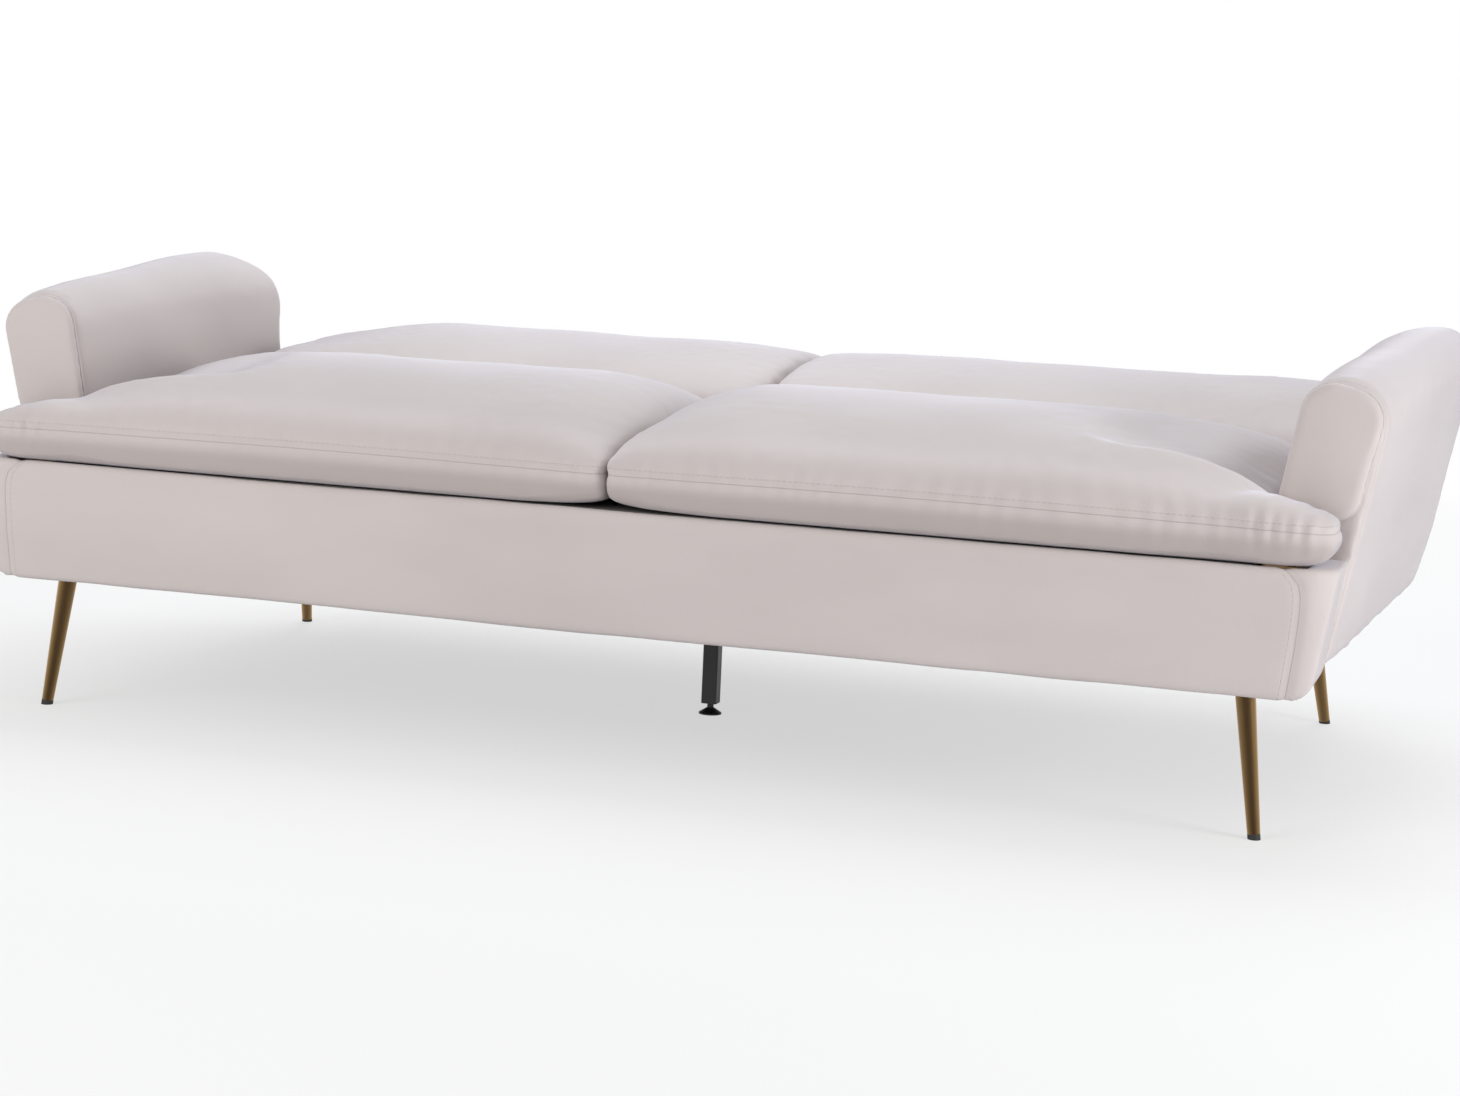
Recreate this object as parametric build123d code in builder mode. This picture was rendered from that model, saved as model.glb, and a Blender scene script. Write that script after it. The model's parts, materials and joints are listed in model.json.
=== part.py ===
from build123d import *
import os
from math import cos, radians, sin, sqrt, tan

os.makedirs("parts", exist_ok=True)

# Sofa bed with its back folded flat. Millimetres, X to the right seen from the front,
# Y to the rear, Z up. The origin is on the floor, in the middle of the whole width and depth.

# Overall sizes
overall_depth = 1190.0
base_bottom = 195.0
base_height = 172.0
cushion_overhang = 20.0
overrun = 5.0
fit_clearance = 0.05
soft_clearance = 0.3

front_y = -overall_depth / 2
back_y = overall_depth / 2
base_front = front_y + cushion_overhang
base_top = base_bottom + base_height

# Hinge line of the back
hinge_setback = 745.0
hinge_rise = 33.0
hinge_y = front_y + hinge_setback
hinge_z = base_top + hinge_rise
back_near_radius = 102.0
swing_radius = 112.0

# Base frame
dust_cover_thickness = 2.0
cover_thickness = 10.0
cover_rounding = 6.0
rail_thickness = 25.0
side_rail_thickness = 30.0
side_rail_inner = 870.0
beam_width = 40.0
felt_thickness = 6.0
leg_block_size = 66.0
leg_block_height = 53.0
wing_block_width = 40.0
rear_deck_depth = 155.0
rear_cover_thickness = 6.0
rail_setback = 3.0

# Seat springs and clips
wire_radius = 1.6
clip_thickness = 1.4
clip_width = 20.0
clip_strap = 11.0
spring_width = 52.0
spring_bend_share = 0.47
springs_per_seat = 3
spring_turns = 14

# Heights in the base
frame_bottom = base_bottom + dust_cover_thickness
hook_radius = wire_radius * sqrt(2) + soft_clearance + clip_thickness
felt_top = base_top
felt_bottom = felt_top - felt_thickness
rail_top = felt_bottom - soft_clearance - 2 * hook_radius
low_top = hinge_z - swing_radius
seat_rear = hinge_y - swing_radius
rear_end = hinge_y + rear_deck_depth
front_rail_front = base_front + cover_thickness
front_rail_back = front_rail_front + rail_thickness
side_rail_outer = side_rail_inner + side_rail_thickness
wing_block_outer = side_rail_outer + wing_block_width
spring_rail_back = seat_rear - rail_setback
spring_rail_front = spring_rail_back - rail_thickness

# Base covers
corner_seam_x = 924.0
corner_top_x = 980.0
corner_bottom_x = 955.0
corner_plan_radius = 42.0
corner_lower_radius = 34.0

# Arms: U runs along the arm from its front, W outward from its inner face, V up
arm_setback = 139.0
arm_inner_x = 880.0
arm_flare = 3.45
arm_length = 745.0
arm_panel_inset = 26.0
arm_panel_thickness = 18.0
arm_post_width = 40.0
arm_post_thickness = 28.0
arm_post_inset = 30.0
arm_rail_height = 34.0
arm_front_y = base_front + arm_setback
arm_front_bottom = 217.0
arm_rear_bottom = 246.0
arm_seat_line = 366.5
arm_front_top = 604.0
arm_rear_top = 642.0
arm_rear_slope = 45.0
arm_lower_corner = 70.0
arm_shoulder = 80.0
arm_panel_cover = 70.0
arm_pocket_clearance = 0.3
arm_width = 158.0

# Outlines of the arm's sections from front to rear: place along the arm as a share of its length, then
# widths of its bottom, shoulder, crown and inner shoulder as shares of the arm's width, and heights of
# its shoulder, crown and inner shoulder as shares of its rear height
arm_section_shares = (0.0, 0.35, 0.70, 1.0)
arm_bottom_shares = (0.500, 0.519, 0.544, 0.570)
arm_outer_shares = (0.880, 0.915, 0.950, 0.965)
arm_outer_rise_shares = (0.849, 0.866, 0.883, 0.888)
arm_crown_shares = (0.519, 0.532, 0.544, 0.557)
arm_crown_rise_shares = (0.940, 0.977, 0.998, 1.0)
arm_inner_shares = (0.127, 0.114, 0.101, 0.095)
arm_inner_rise_shares = (0.858, 0.884, 0.906, 0.914)

# Arm front panel: the circles that round its corners, each as shares of the arm's width and front
# height for its centre, and of the arm's width for its radius
front_panel_thickness = 14.0
front_panel_rounding_share = 0.5
front_panel_shares = (
    (0.430, 0.9185, 0.2785),
    (0.582, 0.9120, 0.2658),
    (0.241, 0.7380, 0.2152),
    (0.494, 0.7480, 0.2152),
)
welt_radius = 2.5

# Bolts that hold the arm, as distance from the hinge line and height
arm_bolt_radius = 4.0
arm_bolt_head_radius = 7.0
arm_bolt_head_height = 5.0
arm_front_bolt_setback = 490.0
arm_rear_bolt_offset = 115.0
arm_bolt_low = 240.0
arm_bolt_high = 318.0
arm_bolt_rear_height = 268.0
arm_bolt_cover = 4.0
spacer_length = 60.0
spacer_margin = 14.0

# Seat cushions
seat_gap = 2.0
seat_side_clearance = 3.0
seat_front_height = 455.0
seat_crown_height = 520.0
seat_split_height = 488.0
seat_side_height = 470.0
seat_rear_height = 462.0
seat_front_draw = 10.0
seat_crown_setback = 430.0
seat_end_lift = 8.0
# Rows of the cushions from end to end: place as a share of the width, then how full the cushion is there
cushion_rows = ((0.0, 0.0), (0.04, 0.55), (0.14, 1.0), (0.5, 1.0), (0.86, 1.0), (0.96, 0.55), (1.0, 0.0))

# Wings of the seat cushions, in front of the arms: place as a share of the reach beyond the arm's inner
# face, then top and bottom as shares of the wing's height, and how far the ends draw in
wing_top = 470.0
wing_tip_x = 980.0
wing_depth = 131.0
wing_root_x = 760.0
wing_shares = ((0.0, 1.0, 0.0, 0.0), (0.5, 0.87, 0.0, 0.0), (0.9, 0.73, 0.05, 0.8), (1.0, 0.6, 0.18, 2.0))

# Back frame and cushions, heights measured from the hinge line
back_frame_low = -55.0
back_frame_high = 10.0
back_rail_thickness = 25.0
end_rail_thickness = 30.0
end_rail_outer = 862.5
slat_thickness = 8.0
slat_width = 50.0
slat_count = 8
rear_panel_thickness = 15.0
rear_wall = 3.5
far_rail_cover = 20.0
back_half_width = 878.0
back_cushion_base = 18.3
back_crown = 134.0
back_split_crown = 120.0
back_far_top = 112.0
back_near_top = 80.0
back_near_turn = 30.0
back_far_draw = 12.0

# Click-clack mechanism
plate_thickness = 4.0
seat_plate_thickness = 3.0
plate_gap = 0.5
pin_radius = 7.0
pin_head_radius = 12.0
pin_head_height = 6.0
pin_reach = 14.0
pin_bore_clearance = 1.0
seat_plate_front = 14.0
seat_plate_rear = 62.0
seat_plate_drop = 185.0
plate_corner = 8.0
back_arm_length = 190.0
back_arm_low = 30.0
back_arm_high = 8.0
back_plate_head = 17.5
back_screw_shares = (0.45, 0.7, 0.92)
sector_radius = 40.0
tooth_height = 6.0
tooth_count = 8
tooth_pitch = 12.0
first_tooth_angle = -72.0
pawl_y = 48.0
pawl_drop = 72.0
pawl_pin_radius = 4.0
pawl_hub_radius = 9.0
pawl_tip_angle = -75.0
pawl_tip_radius = 2.5
pawl_tip_clearance = 1.0
pawl_tail_y = 76.0
pawl_tail_drop = 96.0
pawl_tail_radius = 10.0
spring_blade = 1.0
spring_foot_y = 57.0
spring_foot_drop = 56.0
spring_foot_size = 8.0
spring_blade_length = 34.0
spring_blade_turn = -42.0
screw_radius = 2.5
screw_head_radius = 4.5
screw_head_height = 2.0
screw_length = 22.0

# Legs
front_foot_x = 893.0
front_foot_setback = 52.0
front_head_x = 867.0
front_head_setback = 64.0
rear_foot_x = 885.0
rear_foot_setback = 922.0
rear_head_x = 859.0
rear_head_setback = 845.0
leg_top_radius = 14.0
leg_bottom_radius = 8.6
leg_cap_height = 7.0
leg_cap_radius = 8.6
leg_cap_rounding = 3.0
leg_plate_size = 66.0
leg_plate_thickness = 3.0
leg_plate_corner = 6.0
leg_screw_spacing = 44.0

# Middle leg
middle_leg_setback = 492.0
tube_size = 24.0
tube_wall = 2.0
tube_bottom = 17.0
tube_corner = 2.5
middle_plate_width = 40.0
middle_plate_length = 66.0
insert_height = 12.0
stud_radius = 5.0
stud_length = 30.0
foot_radius = 17.5
foot_rim = 2.0
foot_height = 10.0
foot_travel = 6.0

plate_bottom = base_bottom - leg_plate_thickness
back_frame_bottom = hinge_z + back_frame_low
back_frame_top = hinge_z + back_frame_high
back_plate_inner = end_rail_outer
back_plate_outer = end_rail_outer + plate_thickness
seat_plate_inner = side_rail_inner - seat_plate_thickness
pawl_y_place = hinge_y + pawl_y
pawl_z_place = hinge_z - pawl_drop
middle_leg_y = base_front + middle_leg_setback

# Planes of the arm: one along its side, and one across it at a given distance from its front
arm_along = Vector(sin(radians(arm_flare)), cos(radians(arm_flare)), 0)
arm_outward = Vector(cos(radians(arm_flare)), -sin(radians(arm_flare)), 0)
arm_corner = Vector(arm_inner_x, arm_front_y, 0)
arm_side = Plane(origin=arm_corner, x_dir=arm_along, z_dir=arm_outward)


def across_arm(distance):
    """Return the plane across the arm, X outward and Y up, at a distance from the arm's front."""
    return Plane(origin=arm_corner + arm_along * distance, x_dir=arm_outward, z_dir=-arm_along)


def side_plane(x):
    """Return the plane at an X place, its own X to the rear and its own Y up."""
    return Plane(origin=(x, 0, 0), x_dir=(0, 1, 0), z_dir=(1, 0, 0))


def save(piece, name):
    """Label a piece and write it to its own file."""
    piece.label = name
    export_step(piece, f"parts/{name}.step")


def save_pair(piece, name):
    """Write the right-hand piece and its mirror image on the left."""
    with BuildPart() as left:
        mirror(piece, about=Plane.YZ)
    save(piece, f"{name}_right")
    save(left.part, f"{name}_left")


def save_both(piece, name):
    """Write the right-hand piece and its mirror image to one file."""
    with BuildPart() as both:
        add(piece)
        mirror(about=Plane.YZ)
    save(both.part, name)


def block(x_range, y_range, z_range):
    """Sketch a rectangle in plan and extrude it between two heights, in the part being built."""
    with BuildSketch(Plane.XY.offset(z_range[0])) as plan:
        with Locations(((x_range[0] + x_range[1]) / 2, (y_range[0] + y_range[1]) / 2)):
            Rectangle(x_range[1] - x_range[0], y_range[1] - y_range[0])
    extrude(plan.sketch, amount=z_range[1] - z_range[0])


def bore(plane, points, radius, depth):
    """Cut round holes of a radius and depth at points of a plane, from the part being built."""
    with BuildSketch(plane) as holes:
        with Locations(*points):
            Circle(radius)
    extrude(holes.sketch, amount=depth, mode=Mode.SUBTRACT)


# Legs, each given by where its axis meets the floor and the plate
front_head = (front_head_x, base_front + front_head_setback)
rear_head = (rear_head_x, base_front + rear_head_setback)
front_foot = (front_foot_x, base_front + front_foot_setback)
rear_foot = (rear_foot_x, base_front + rear_foot_setback)


def plate_screws(head):
    """Return the plan places of the four screws of the plate over a leg."""
    reach = leg_screw_spacing / 2
    return [(head[0] + dx * reach, head[1] + dy * reach) for dx in (-1, 1) for dy in (-1, 1)]


right_screws = plate_screws(front_head) + plate_screws(rear_head)
left_screws = [(-x, y) for x, y in right_screws]
leg_screws = right_screws + left_screws
middle_screws = [(0, middle_leg_y + step * leg_screw_spacing / 2) for step in (-1, 1)]
pilot_radius = screw_radius + fit_clearance
pilot_depth = screw_length + dust_cover_thickness


def pilot_holes(points):
    """Cut the pilot holes of the leg screws up from the bottom of the frame."""
    bore(Plane.XY.offset(plate_bottom), points, pilot_radius, pilot_depth + leg_plate_thickness)


# Base frame

with BuildPart() as front_rail:
    block((-wing_block_outer, wing_block_outer), (front_rail_front, front_rail_back), (frame_bottom, rail_top))
save(front_rail.part, "front_rail")

arm_bolt_points = (
    (hinge_y - arm_front_bolt_setback, arm_bolt_low),
    (hinge_y - arm_front_bolt_setback, arm_bolt_high),
    (hinge_y + arm_rear_bolt_offset, arm_bolt_rear_height),
)
seat_plate_screws = (
    (hinge_y, base_bottom + leg_block_height - screw_length / 2),
    (hinge_y + seat_plate_rear - seat_plate_front, base_bottom + leg_block_height - screw_length / 2),
    (hinge_y + seat_plate_rear / 2 - seat_plate_front / 2, low_top - screw_length),
)

with BuildPart() as side_rail:
    with BuildSketch(side_plane(side_rail_inner)):
        with BuildLine():
            Polyline(
                (front_rail_back, frame_bottom),
                (rear_end, frame_bottom),
                (rear_end, low_top),
                (seat_rear, low_top),
                (seat_rear, rail_top),
                (front_rail_back, rail_top),
                close=True,
            )
        make_face()
    extrude(amount=side_rail_thickness)
    pilot_holes(right_screws)
    bore(side_plane(side_rail_inner), arm_bolt_points, arm_bolt_radius + fit_clearance, side_rail_thickness)
    bore(side_plane(side_rail_inner), seat_plate_screws, pilot_radius, screw_length)
save_pair(side_rail.part, "side_rail")

with BuildPart() as rear_rail:
    block((-side_rail_inner, side_rail_inner), (rear_end - rail_thickness, rear_end), (frame_bottom, low_top))
    pilot_holes(leg_screws)
save(rear_rail.part, "rear_rail")

with BuildPart() as centre_beam:
    block(
        (-beam_width / 2, beam_width / 2),
        (front_rail_back, rear_end - rail_thickness),
        (frame_bottom, low_top),
    )
    pilot_holes(middle_screws)
save(centre_beam.part, "centre_beam")

with BuildPart() as spring_rail:
    block((-side_rail_inner, side_rail_inner), (spring_rail_front, spring_rail_back), (low_top, rail_top))
save(spring_rail.part, "spring_rail")

front_block_rows = (front_rail_back, front_rail_back + leg_block_size)
rear_block_rows = (rear_end - rail_thickness - leg_block_size, rear_end - rail_thickness)
wing_block_rear = arm_front_y - front_panel_thickness
with BuildPart() as corner_blocks:
    for rows in (front_block_rows, rear_block_rows):
        for side in (-1, 1):
            ends = sorted((side * side_rail_inner, side * (side_rail_inner - leg_block_size)))
            block(ends, rows, (frame_bottom, frame_bottom + leg_block_height))
    pilot_holes(leg_screws)
    for side in (-1, 1):
        ends = sorted((side * side_rail_outer, side * wing_block_outer))
        block(ends, (front_rail_back, wing_block_rear), (frame_bottom, rail_top))
save(corner_blocks.part, "corner_blocks")

# Seat springs: flat zigzag wires held by a clip at each end

spring_front_y = (front_rail_front + front_rail_back) / 2
spring_rear_y = (spring_rail_front + spring_rail_back) / 2
spring_z = rail_top + hook_radius
spring_step = (spring_rear_y - spring_front_y) / spring_turns
seat_half = side_rail_inner - beam_width / 2
spring_spacing = seat_half / springs_per_seat
spring_places = [
    side * (beam_width / 2 + spring_spacing * (number + 1 / 2))
    for side in (-1, 1)
    for number in range(springs_per_seat)
]


def zigzag(x):
    """Return the corner points, in plan, of one seat spring whose middle is at an X place."""
    points = []
    for turn in range(spring_turns + 1):
        edge = spring_width / 2 if turn % 2 else -spring_width / 2
        y = spring_front_y + turn * spring_step
        points.append((x + edge, y))
        points.append((x - edge, y))
    return points


with BuildPart() as seat_springs:
    for place in spring_places:
        with BuildSketch(Plane.XY.offset(spring_z - wire_radius)) as wire:
            with BuildLine():
                FilletPolyline(*zigzag(place), radius=spring_step * spring_bend_share)
            trace(line_width=2 * wire_radius)
        extrude(wire.sketch, amount=2 * wire_radius)
save(seat_springs.part, "seat_springs")


def clip(x, wire_y, inward):
    """Build one spring clip: a strap on the rail that hooks over the wire from the seat side."""
    with BuildSketch(side_plane(x - clip_width / 2)) as hook:
        with Locations((wire_y, spring_z)):
            Circle(hook_radius)
            Circle(hook_radius - clip_thickness, mode=Mode.SUBTRACT)
        with Locations((wire_y - inward * hook_radius / 2, spring_z)):
            Rectangle(hook_radius, 2 * hook_radius, mode=Mode.SUBTRACT)
        with Locations((wire_y - inward * clip_strap / 2, rail_top + clip_thickness / 2)):
            Rectangle(clip_strap, clip_thickness)
    extrude(hook.sketch, amount=clip_width)


with BuildPart() as spring_clips:
    for place in spring_places:
        clip(place, spring_front_y, 1)
        clip(place, spring_rear_y, -1)
save(spring_clips.part, "spring_clips")

with BuildPart() as seat_felt:
    block(
        (-side_rail_inner, side_rail_inner),
        (front_rail_front, spring_rail_back),
        (felt_bottom, felt_top),
    )
save(seat_felt.part, "seat_felt")

with BuildPart() as dust_cover:
    block((-side_rail_outer, side_rail_outer), (front_rail_front, rear_end), (base_bottom, frame_bottom))
    pilot_holes(leg_screws + middle_screws)
save(dust_cover.part, "dust_cover")

# Base covers

with BuildPart() as base_front_cover:
    block((-corner_seam_x, corner_seam_x), (base_front, front_rail_front), (base_bottom, base_top))
    top_edge = base_front_cover.edges().filter_by(Axis.X).group_by(Axis.Y)[0].sort_by(Axis.Z)[-1]
    fillet(top_edge, radius=cover_rounding)
save(base_front_cover.part, "base_front_cover")


def arm_front_at(x):
    """Return the Y place of the arm's front face at an X place."""
    return arm_front_y - (x - arm_inner_x) * tan(radians(arm_flare)) - soft_clearance


with BuildPart() as corner_cover:
    with BuildSketch(Plane.XY.offset(base_bottom)):
        with BuildLine():
            Line((corner_seam_x, base_front), (corner_top_x - corner_plan_radius, base_front))
            RadiusArc(
                (corner_top_x - corner_plan_radius, base_front),
                (corner_top_x, base_front + corner_plan_radius),
                -corner_plan_radius,
            )
            Polyline(
                (corner_top_x, base_front + corner_plan_radius),
                (corner_top_x, arm_front_at(corner_top_x)),
                (wing_block_outer, arm_front_at(wing_block_outer)),
                (wing_block_outer, front_rail_front),
                (corner_seam_x, front_rail_front),
                (corner_seam_x, base_front),
            )
        make_face()
    extrude(amount=base_height)
    with BuildSketch(Plane.XZ.offset(-arm_front_y)):
        with BuildLine():
            FilletPolyline(
                (0, base_bottom),
                (corner_bottom_x, base_bottom),
                (corner_top_x, base_top),
                (0, base_top),
                radius=(0, corner_lower_radius, 0, 0),
                close=True,
            )
        make_face()
    extrude(amount=arm_front_y - base_front + overrun, mode=Mode.INTERSECT)
save_pair(corner_cover.part, "corner_cover")

with BuildPart() as base_rear_cover:
    block((-side_rail_outer, side_rail_outer), (rear_end, rear_end + rear_cover_thickness), (base_bottom, low_top))
save(base_rear_cover.part, "base_rear_cover")

# Arms

arm_lift_share = (arm_rear_top - arm_front_top) / arm_length
arm_wood_bottom = arm_front_bottom + cover_thickness
arm_wood_low = arm_rear_bottom + cover_thickness
arm_wood_rear = arm_length - arm_rear_slope - arm_post_inset
arm_post_inner = arm_panel_inset + arm_panel_thickness
arm_post_starts = (arm_post_inset, arm_wood_rear - arm_post_width)


def arm_wood_top(distance):
    """Return the height of the arm's wood at a distance from its front."""
    return arm_front_top - arm_panel_cover + distance * arm_lift_share


def side_outline(inset, points):
    """Return the sketch of a polygon in the arm's side view, at a distance inside its skin."""
    with BuildSketch(arm_side.offset(inset)) as outline:
        with BuildLine():
            Polyline(*points, close=True)
        make_face()
    return outline.sketch


def panel_corners(clearance):
    """Return the corners of the arm panel in side view, grown by a clearance."""
    return (
        (cover_thickness - clearance, arm_wood_bottom - clearance),
        (arm_length / 2, arm_wood_low - clearance),
        (arm_wood_rear + clearance, arm_wood_low - clearance),
        (arm_wood_rear + clearance, arm_wood_top(arm_wood_rear) + clearance),
        (cover_thickness - clearance, arm_wood_top(cover_thickness) + clearance),
    )


def post_corners(start, clearance):
    """Return the corners of an arm post in side view, up to the underside of the top rail."""
    end = start + arm_post_width
    return (
        (start - clearance, arm_wood_low - clearance),
        (end + clearance, arm_wood_low - clearance),
        (end + clearance, arm_wood_top(end) - arm_rail_height + clearance),
        (start - clearance, arm_wood_top(start) - arm_rail_height + clearance),
    )


def top_rail_corners(clearance):
    """Return the corners of the arm's top rail in side view."""
    start = arm_post_inset
    end = arm_wood_rear
    return (
        (start - clearance, arm_wood_top(start) - arm_rail_height - clearance),
        (end + clearance, arm_wood_top(end) - arm_rail_height - clearance),
        (end + clearance, arm_wood_top(end) + clearance),
        (start - clearance, arm_wood_top(start) + clearance),
    )


with BuildPart() as arm_panel:
    extrude(side_outline(arm_panel_inset, panel_corners(0)), amount=arm_panel_thickness)
    bore(
        side_plane(side_rail_outer),
        arm_bolt_points,
        arm_bolt_radius + fit_clearance,
        wing_block_width + arm_panel_inset,
    )
save_both(arm_panel.part, "arm_panels")

with BuildPart() as arm_posts:
    for start in arm_post_starts:
        extrude(side_outline(arm_post_inner, post_corners(start, 0)), amount=arm_post_thickness)
save_both(arm_posts.part, "arm_posts")

with BuildPart() as arm_top_rail:
    extrude(side_outline(arm_post_inner, top_rail_corners(0)), amount=arm_post_thickness)
save_both(arm_top_rail.part, "arm_top_rails")

with BuildPart() as arm_pocket:
    extrude(
        side_outline(arm_panel_inset - arm_pocket_clearance, panel_corners(arm_pocket_clearance)),
        amount=arm_panel_thickness + 2 * arm_pocket_clearance,
    )
    for start in arm_post_starts:
        extrude(
            side_outline(arm_post_inner, post_corners(start, arm_pocket_clearance)),
            amount=arm_post_thickness + arm_pocket_clearance,
        )
    extrude(
        side_outline(arm_post_inner, top_rail_corners(arm_pocket_clearance)),
        amount=arm_post_thickness + arm_pocket_clearance,
    )


def arm_section(share, bottom, outer, outer_rise, crown, crown_rise, inner, inner_rise):
    """Return one section across the arm, its widths and heights given as shares."""
    low = arm_front_bottom - overrun
    shoulder_place = (outer * arm_width, outer_rise * arm_rear_top)
    crown_place = (crown * arm_width, crown_rise * arm_rear_top)
    inner_place = (inner * arm_width, inner_rise * arm_rear_top)
    with BuildSketch(across_arm(share * arm_length)) as section:
        with BuildLine():
            Line((arm_post_inner, low), (bottom * arm_width, low))
            Line((bottom * arm_width, low), shoulder_place)
            ThreePointArc(shoulder_place, crown_place, inner_place)
            Line(inner_place, (0, arm_seat_line))
            Line((0, arm_seat_line), (arm_post_inner, low))
        make_face()
    return section.sketch


arm_section_rows = zip(
    arm_section_shares,
    arm_bottom_shares,
    arm_outer_shares,
    arm_outer_rise_shares,
    arm_crown_shares,
    arm_crown_rise_shares,
    arm_inner_shares,
    arm_inner_rise_shares,
)
with BuildPart() as arm_cover:
    loft([arm_section(*row) for row in arm_section_rows])
    with BuildSketch(arm_side.offset(-arm_panel_inset)):
        with BuildLine():
            FilletPolyline(
                (0, arm_front_bottom),
                (arm_length - arm_lower_corner, arm_rear_bottom),
                (arm_length - arm_rear_slope / 2, arm_rear_bottom + arm_lower_corner),
                (arm_length, arm_rear_top),
                (0, arm_rear_top + overrun),
                radius=(0, arm_lower_corner / 2, arm_lower_corner, arm_shoulder, 0),
                close=True,
            )
        make_face()
    extrude(amount=2 * arm_width, mode=Mode.INTERSECT)
    with BuildSketch(arm_side.offset(-arm_panel_inset)):
        with Locations((arm_length / 2, arm_seat_line / 2)):
            Rectangle(arm_length + 2 * overrun, arm_seat_line)
    extrude(amount=2 * arm_panel_inset + arm_pocket_clearance, mode=Mode.SUBTRACT)
    add(arm_pocket.part, mode=Mode.SUBTRACT)
save_pair(arm_cover.part, "arm_cover")


def front_panel_outline(distance, growth):
    """Return the rounded outline of the arm's front panel, grown by a length, across the arm."""
    with BuildSketch(across_arm(distance)) as outline:
        for width, rise, radius in front_panel_shares:
            with Locations((width * arm_width, rise * arm_front_top)):
                Circle(radius * arm_width + growth)
        make_hull()
    return outline.sketch


with BuildPart() as arm_front_panel:
    extrude(front_panel_outline(0, 0), amount=front_panel_thickness)
    rim = arm_front_panel.faces().sort_by(Axis.Y)[0].edges()
    fillet(rim, radius=front_panel_thickness * front_panel_rounding_share)
save_pair(arm_front_panel.part, "arm_front_panel")

with BuildPart() as arm_welt:
    extrude(front_panel_outline(0, soft_clearance + 2 * welt_radius), amount=2 * welt_radius)
    extrude(front_panel_outline(0, soft_clearance), amount=2 * welt_radius, mode=Mode.SUBTRACT)
save_both(arm_welt.part, "arm_welts")

spacer_rows = (
    (hinge_y - arm_front_bolt_setback, arm_bolt_low - spacer_margin, arm_bolt_high + spacer_margin),
    (hinge_y + arm_rear_bolt_offset, arm_wood_low, low_top),
)
with BuildPart() as arm_spacers:
    for middle, low, high in spacer_rows:
        rows = (middle - spacer_length / 2, middle + spacer_length / 2)
        block((side_rail_outer, wing_block_outer + arm_panel_inset), rows, (low, high))
    split(bisect_by=arm_side.offset(arm_panel_inset), keep=Keep.BOTTOM)
    bore(
        side_plane(side_rail_outer),
        arm_bolt_points,
        arm_bolt_radius + fit_clearance,
        wing_block_width + arm_panel_inset,
    )
save_both(arm_spacers.part, "arm_spacers")


def panel_outer_at(y):
    """Return the X place of the arm panel's outer face at a Y place."""
    slope = tan(radians(arm_flare))
    return arm_inner_x + (y - arm_front_y) * slope + arm_post_inner / cos(radians(arm_flare))


with BuildPart() as arm_bolts:
    for y, height in arm_bolt_points:
        with BuildSketch(side_plane(side_rail_inner)):
            with Locations((y, height)):
                Circle(arm_bolt_radius)
        extrude(amount=panel_outer_at(y) - side_rail_inner - arm_bolt_cover)
        with BuildSketch(side_plane(side_rail_inner)):
            with Locations((y, height)):
                RegularPolygon(arm_bolt_head_radius, side_count=6)
        extrude(amount=-arm_bolt_head_height)
save_both(arm_bolts.part, "arm_bolts")

# Seat cushions: a main body lofted from the middle split to the arm, and a wing in front of the arm

seat_base = base_top + soft_clearance
crown_y = front_y + seat_crown_setback
wing_rear = front_y + wing_depth
flare_sine = sin(radians(arm_flare))
flare_cosine = cos(radians(arm_flare))


def cushion_section(plane, ends, bottom, crown, end_tops, crown_place, lift):
    """Return one side-view section of a cushion: flat bottom, bulging front and rear, crowned top."""
    front, rear = ends
    front_top, rear_top = end_tops
    low = bottom + lift
    front_in = front + seat_front_draw
    rear_in = rear - seat_front_draw
    with BuildSketch(plane) as section:
        with BuildLine():
            Line((front_in, low), (rear_in, low))
            ThreePointArc((rear_in, low), (rear, (low + rear_top) / 2), (rear_in, rear_top))
            ThreePointArc((rear_in, rear_top), (crown_place, crown), (front_in, front_top))
            ThreePointArc((front_in, front_top), (front, (low + front_top) / 2), (front_in, low))
        make_face()
    return section.sketch


def seat_section(share, fullness):
    """Return one section of the seat cushion, square to the sofa near the split, along the arm beyond."""
    draw = seat_front_draw * (1 - fullness)
    places = (front_y + draw, seat_rear, crown_y)
    if share <= 1 / 2:
        plane = side_plane(seat_gap + share * arm_inner_x)
        end_height = seat_split_height
        lift = seat_end_lift * (1 - fullness)
    else:
        inset = seat_side_clearance + (1 - share) * arm_inner_x
        plane = arm_side.offset(-inset)
        places = [(y - arm_front_y - inset * flare_sine) / flare_cosine for y in places]
        end_height = seat_side_height
        lift = 0
    drop = seat_end_lift * (1 - fullness)
    return cushion_section(
        plane,
        places[:2],
        seat_base,
        end_height + (seat_crown_height - end_height) * fullness,
        (seat_front_height - drop, seat_rear_height - drop),
        places[2],
        lift,
    )


def wing_section(x, top, bottom, draw):
    """Return one section of the seat cushion's wing at an X place, drawn in at both ends."""
    ends = (front_y + draw, wing_rear - draw)
    end_top = top - seat_front_draw
    return cushion_section(side_plane(x), ends, bottom, top, (end_top, end_top), sum(ends) / 2, 0)


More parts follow.
